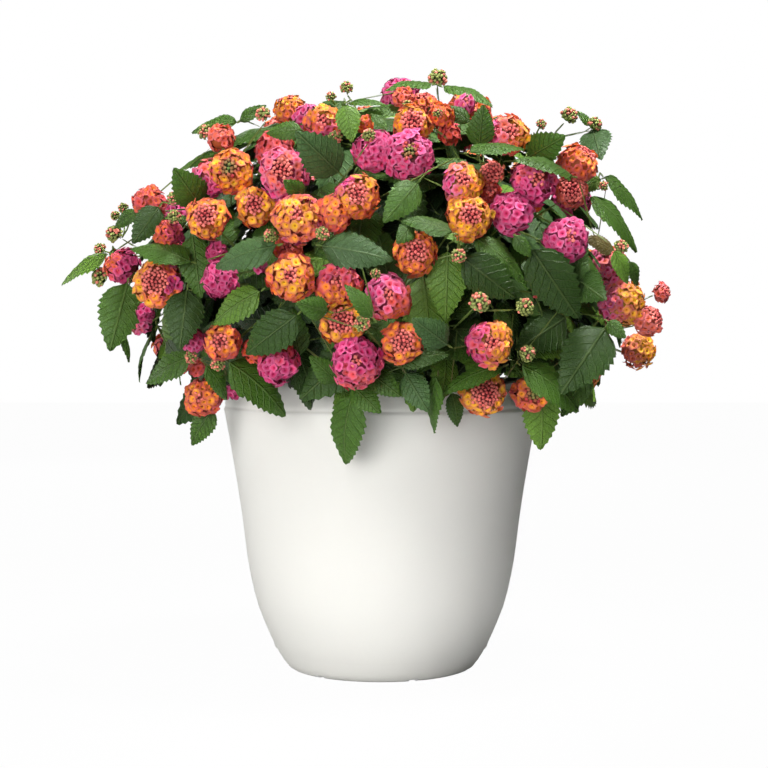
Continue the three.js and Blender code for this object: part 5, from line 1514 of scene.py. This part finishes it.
def drain_notch(azimuth):
    """The block that a drain notch leaves free under the foot."""
    out, side = heading(azimuth, 0), heading(azimuth + 90, 0)
    inner, outer = NOTCH_CIRCLE - NOTCH_LENGTH / 2, NOTCH_CIRCLE + NOTCH_LENGTH / 2
    outline = [(out * reach + side * (hand * NOTCH_WIDTH / 2))[:2]
               for reach, hand in ((inner, -1), (outer, -1), (outer, 1), (inner, 1))]
    return prism(outline, -NOTCH_HEIGHT, NOTCH_HEIGHT)


def carve(piece, bodies):
    """Cuts closed bodies, each its points and faces, out of a closed piece."""
    points, faces = [], []
    for body_points, body_faces in bodies:
        faces += [tuple(k + len(points) for k in face) for face in body_faces]
        points += [tuple(np.array(point) * MM) for point in body_points]
    mesh = bpy.data.meshes.new("cutter")
    mesh.from_pydata(points, [], faces)
    cutter = in_scene("cutter", mesh)
    cut = piece.modifiers.new("cut", "BOOLEAN")
    cut.operation, cut.object, cut.solver = "DIFFERENCE", cutter, "EXACT"
    bpy.context.view_layer.update()
    whole = piece.evaluated_get(bpy.context.evaluated_depsgraph_get())
    carved = bpy.data.meshes.new_from_object(whole)
    piece.modifiers.remove(cut)
    piece.data = carved
    bpy.data.objects.remove(cutter)


def add_pot():
    """The pot with its drain holes and notches."""
    pot = Batch()
    lathe(pot, BASE + OUTER + INNER + BASE[:1], POT_TURNS, POT_TINT)
    piece = pot.make("pot_shell", POT_LOOK, "pot", "pot")
    drains = [drain_hole(360 * (k + 0.5) / DRAIN_HOLES) for k in range(DRAIN_HOLES)]
    carve(piece, drains + [drain_notch(NOTCH_FIRST + 360 * k / NOTCHES) for k in range(NOTCHES)])


def soil_point(i, j):
    """A point of the soil's crumbly surface."""
    a = 2 * math.pi * j / SOIL["turns"]
    r = SOIL["edge"] * i / SOIL["rings"]
    lump = (SOIL["lump"] * (chance(i * 97 + j * 13) - 0.5)
            + SOIL["wave"] * math.sin(SOIL["wave_out"] * r + SOIL["wave_round"] * a))
    height = SOIL["height"] - SOIL["crown"] * (r / SOIL["crown_edge"]) ** 2
    return math.cos(a) * r, math.sin(a) * r, height + (lump if i < SOIL["rings"] else 0)


def add_soil():
    """The soil: an uneven surface, and sides down to the pot's floor."""
    soil = Batch()
    points = [soil_point(i, j) for i in range(SOIL["rings"] + 1) for j in range(SOIL["turns"])]
    shade = np.array([[drawn(SOIL["shade"], k)] for k in range(len(points))])
    soil.add(points, grid_faces(SOIL["rings"], SOIL["turns"]), SOIL_TINT * shade)
    lathe(soil, SOIL_SIDES, SOIL_TURNS, SOIL_SIDE)
    soil.make("soil_fill", SOIL_LOOK, "soil", "soil")


add_pot()
add_soil()


# ---- floor, light and camera

FLOOR_HALF, FLOOR_GREY, FLOOR_ROUGHNESS, FLOOR_SHEEN, FLOOR_GLOW = 6.0, 0.4, 0.9, 0.2, 0.98
AMBIENT = 0.02
# Each light's place, the point it faces, and its size, power and spread.
LIGHTS = {
    "key": ((-0.85, -2.3, 0.5), (0, 0, 0.25), 1.5, 54, 180),
    "side": ((-2.35, 0.63, 0.8), (0, 0, 0.25), 1.2, 20, 180),
    "back": ((-0.35, 2.5, 1.0), (0, 0, 0.3), 1.3, 26, 180),
    "top": ((0.6, -0.6, 2.7), (0.06, -0.03, 0.36), 0.6, 3.8, 28),
    "foot": ((-0.4, -1.5, 1.3), (-0.08, -0.45, 0), 0.3, 0.85, 18),
}
IMAGE, FOCAL_PIXELS, SENSOR = 768, 1772.0, 36.0
HORIZON_ROW, AXIS_COLUMN = 332, 381
CLIP = (0.05, 50)


def camera_rays(tree):
    """Whether a ray comes straight from the camera."""
    return tree.nodes.new("ShaderNodeLightPath").outputs["Is Camera Ray"]


def add_floor():
    """A floor that takes shadows and is near white to the camera, like the photo's ground."""
    made, tree, shader = material("floor", FLOOR_ROUGHNESS, FLOOR_SHEEN)
    shader.inputs["Base Color"].default_value = (FLOOR_GREY, FLOOR_GREY, FLOOR_GREY, 1)
    blend = tree.nodes.new("ShaderNodeMixShader")
    glow = tree.nodes.new("ShaderNodeEmission")
    feed(tree, blend.inputs[0], maths(tree, "MULTIPLY", camera_rays(tree), FLOOR_GLOW))
    feed(tree, blend.inputs[1], shader.outputs[0])
    feed(tree, blend.inputs[2], glow.outputs[0])
    feed(tree, tree.nodes["Material Output"].inputs["Surface"], blend.outputs[0])
    mesh = bpy.data.meshes.new("floor")
    points = [(x * FLOOR_HALF, y * FLOOR_HALF, 0) for x, y in SQUARE]
    mesh.from_pydata(points, [], [(0, 1, 2, 3)])
    mesh.materials.append(made)
    floor = in_scene("floor", mesh)


def add_world():
    """A white background that lights the scene only a little."""
    world = bpy.data.worlds.new("studio")
    bpy.context.scene.world = world
    world.use_nodes = True
    tree = world.node_tree
    background = tree.nodes["Background"]
    background.inputs["Color"].default_value = (1, 1, 1, 1)
    seen = maths(tree, "MULTIPLY_ADD", camera_rays(tree), 1 - AMBIENT, AMBIENT)
    feed(tree, background.inputs["Strength"], seen)
    bpy.context.scene.view_settings.view_transform = "Standard"


def add_light(name, place, target, size, power, spread):
    """A square light that faces a point."""
    data = bpy.data.lights.new(name, "AREA")
    data.size = size
    data.energy = power
    data.spread = math.radians(spread)
    lamp = in_scene(name, data)
    lamp.location = place
    lamp.rotation_mode = "QUATERNION"
    lamp.rotation_quaternion = (Vector(target) - Vector(place)).to_track_quat("-Z", "Y")


def add_camera():
    """The camera where the photo was taken from, by its horizon's row and the pot's column."""
    data = bpy.data.cameras.new("camera")
    data.sensor_width = SENSOR
    data.lens = SENSOR * FOCAL_PIXELS / IMAGE
    data.shift_x = (IMAGE / 2 - AXIS_COLUMN) / IMAGE
    data.clip_start, data.clip_end = CLIP
    camera = in_scene("camera", data)
    pitch = math.atan((IMAGE / 2 - HORIZON_ROW) / FOCAL_PIXELS)
    camera.location = (0, -STAND * MM, STAND_HEIGHT * MM)
    camera.rotation_euler = (math.pi / 2 - pitch, 0, 0)
    bpy.context.scene.camera = camera


add_floor()
add_world()
for name, light in LIGHTS.items():
    add_light(name, *light)
add_camera()
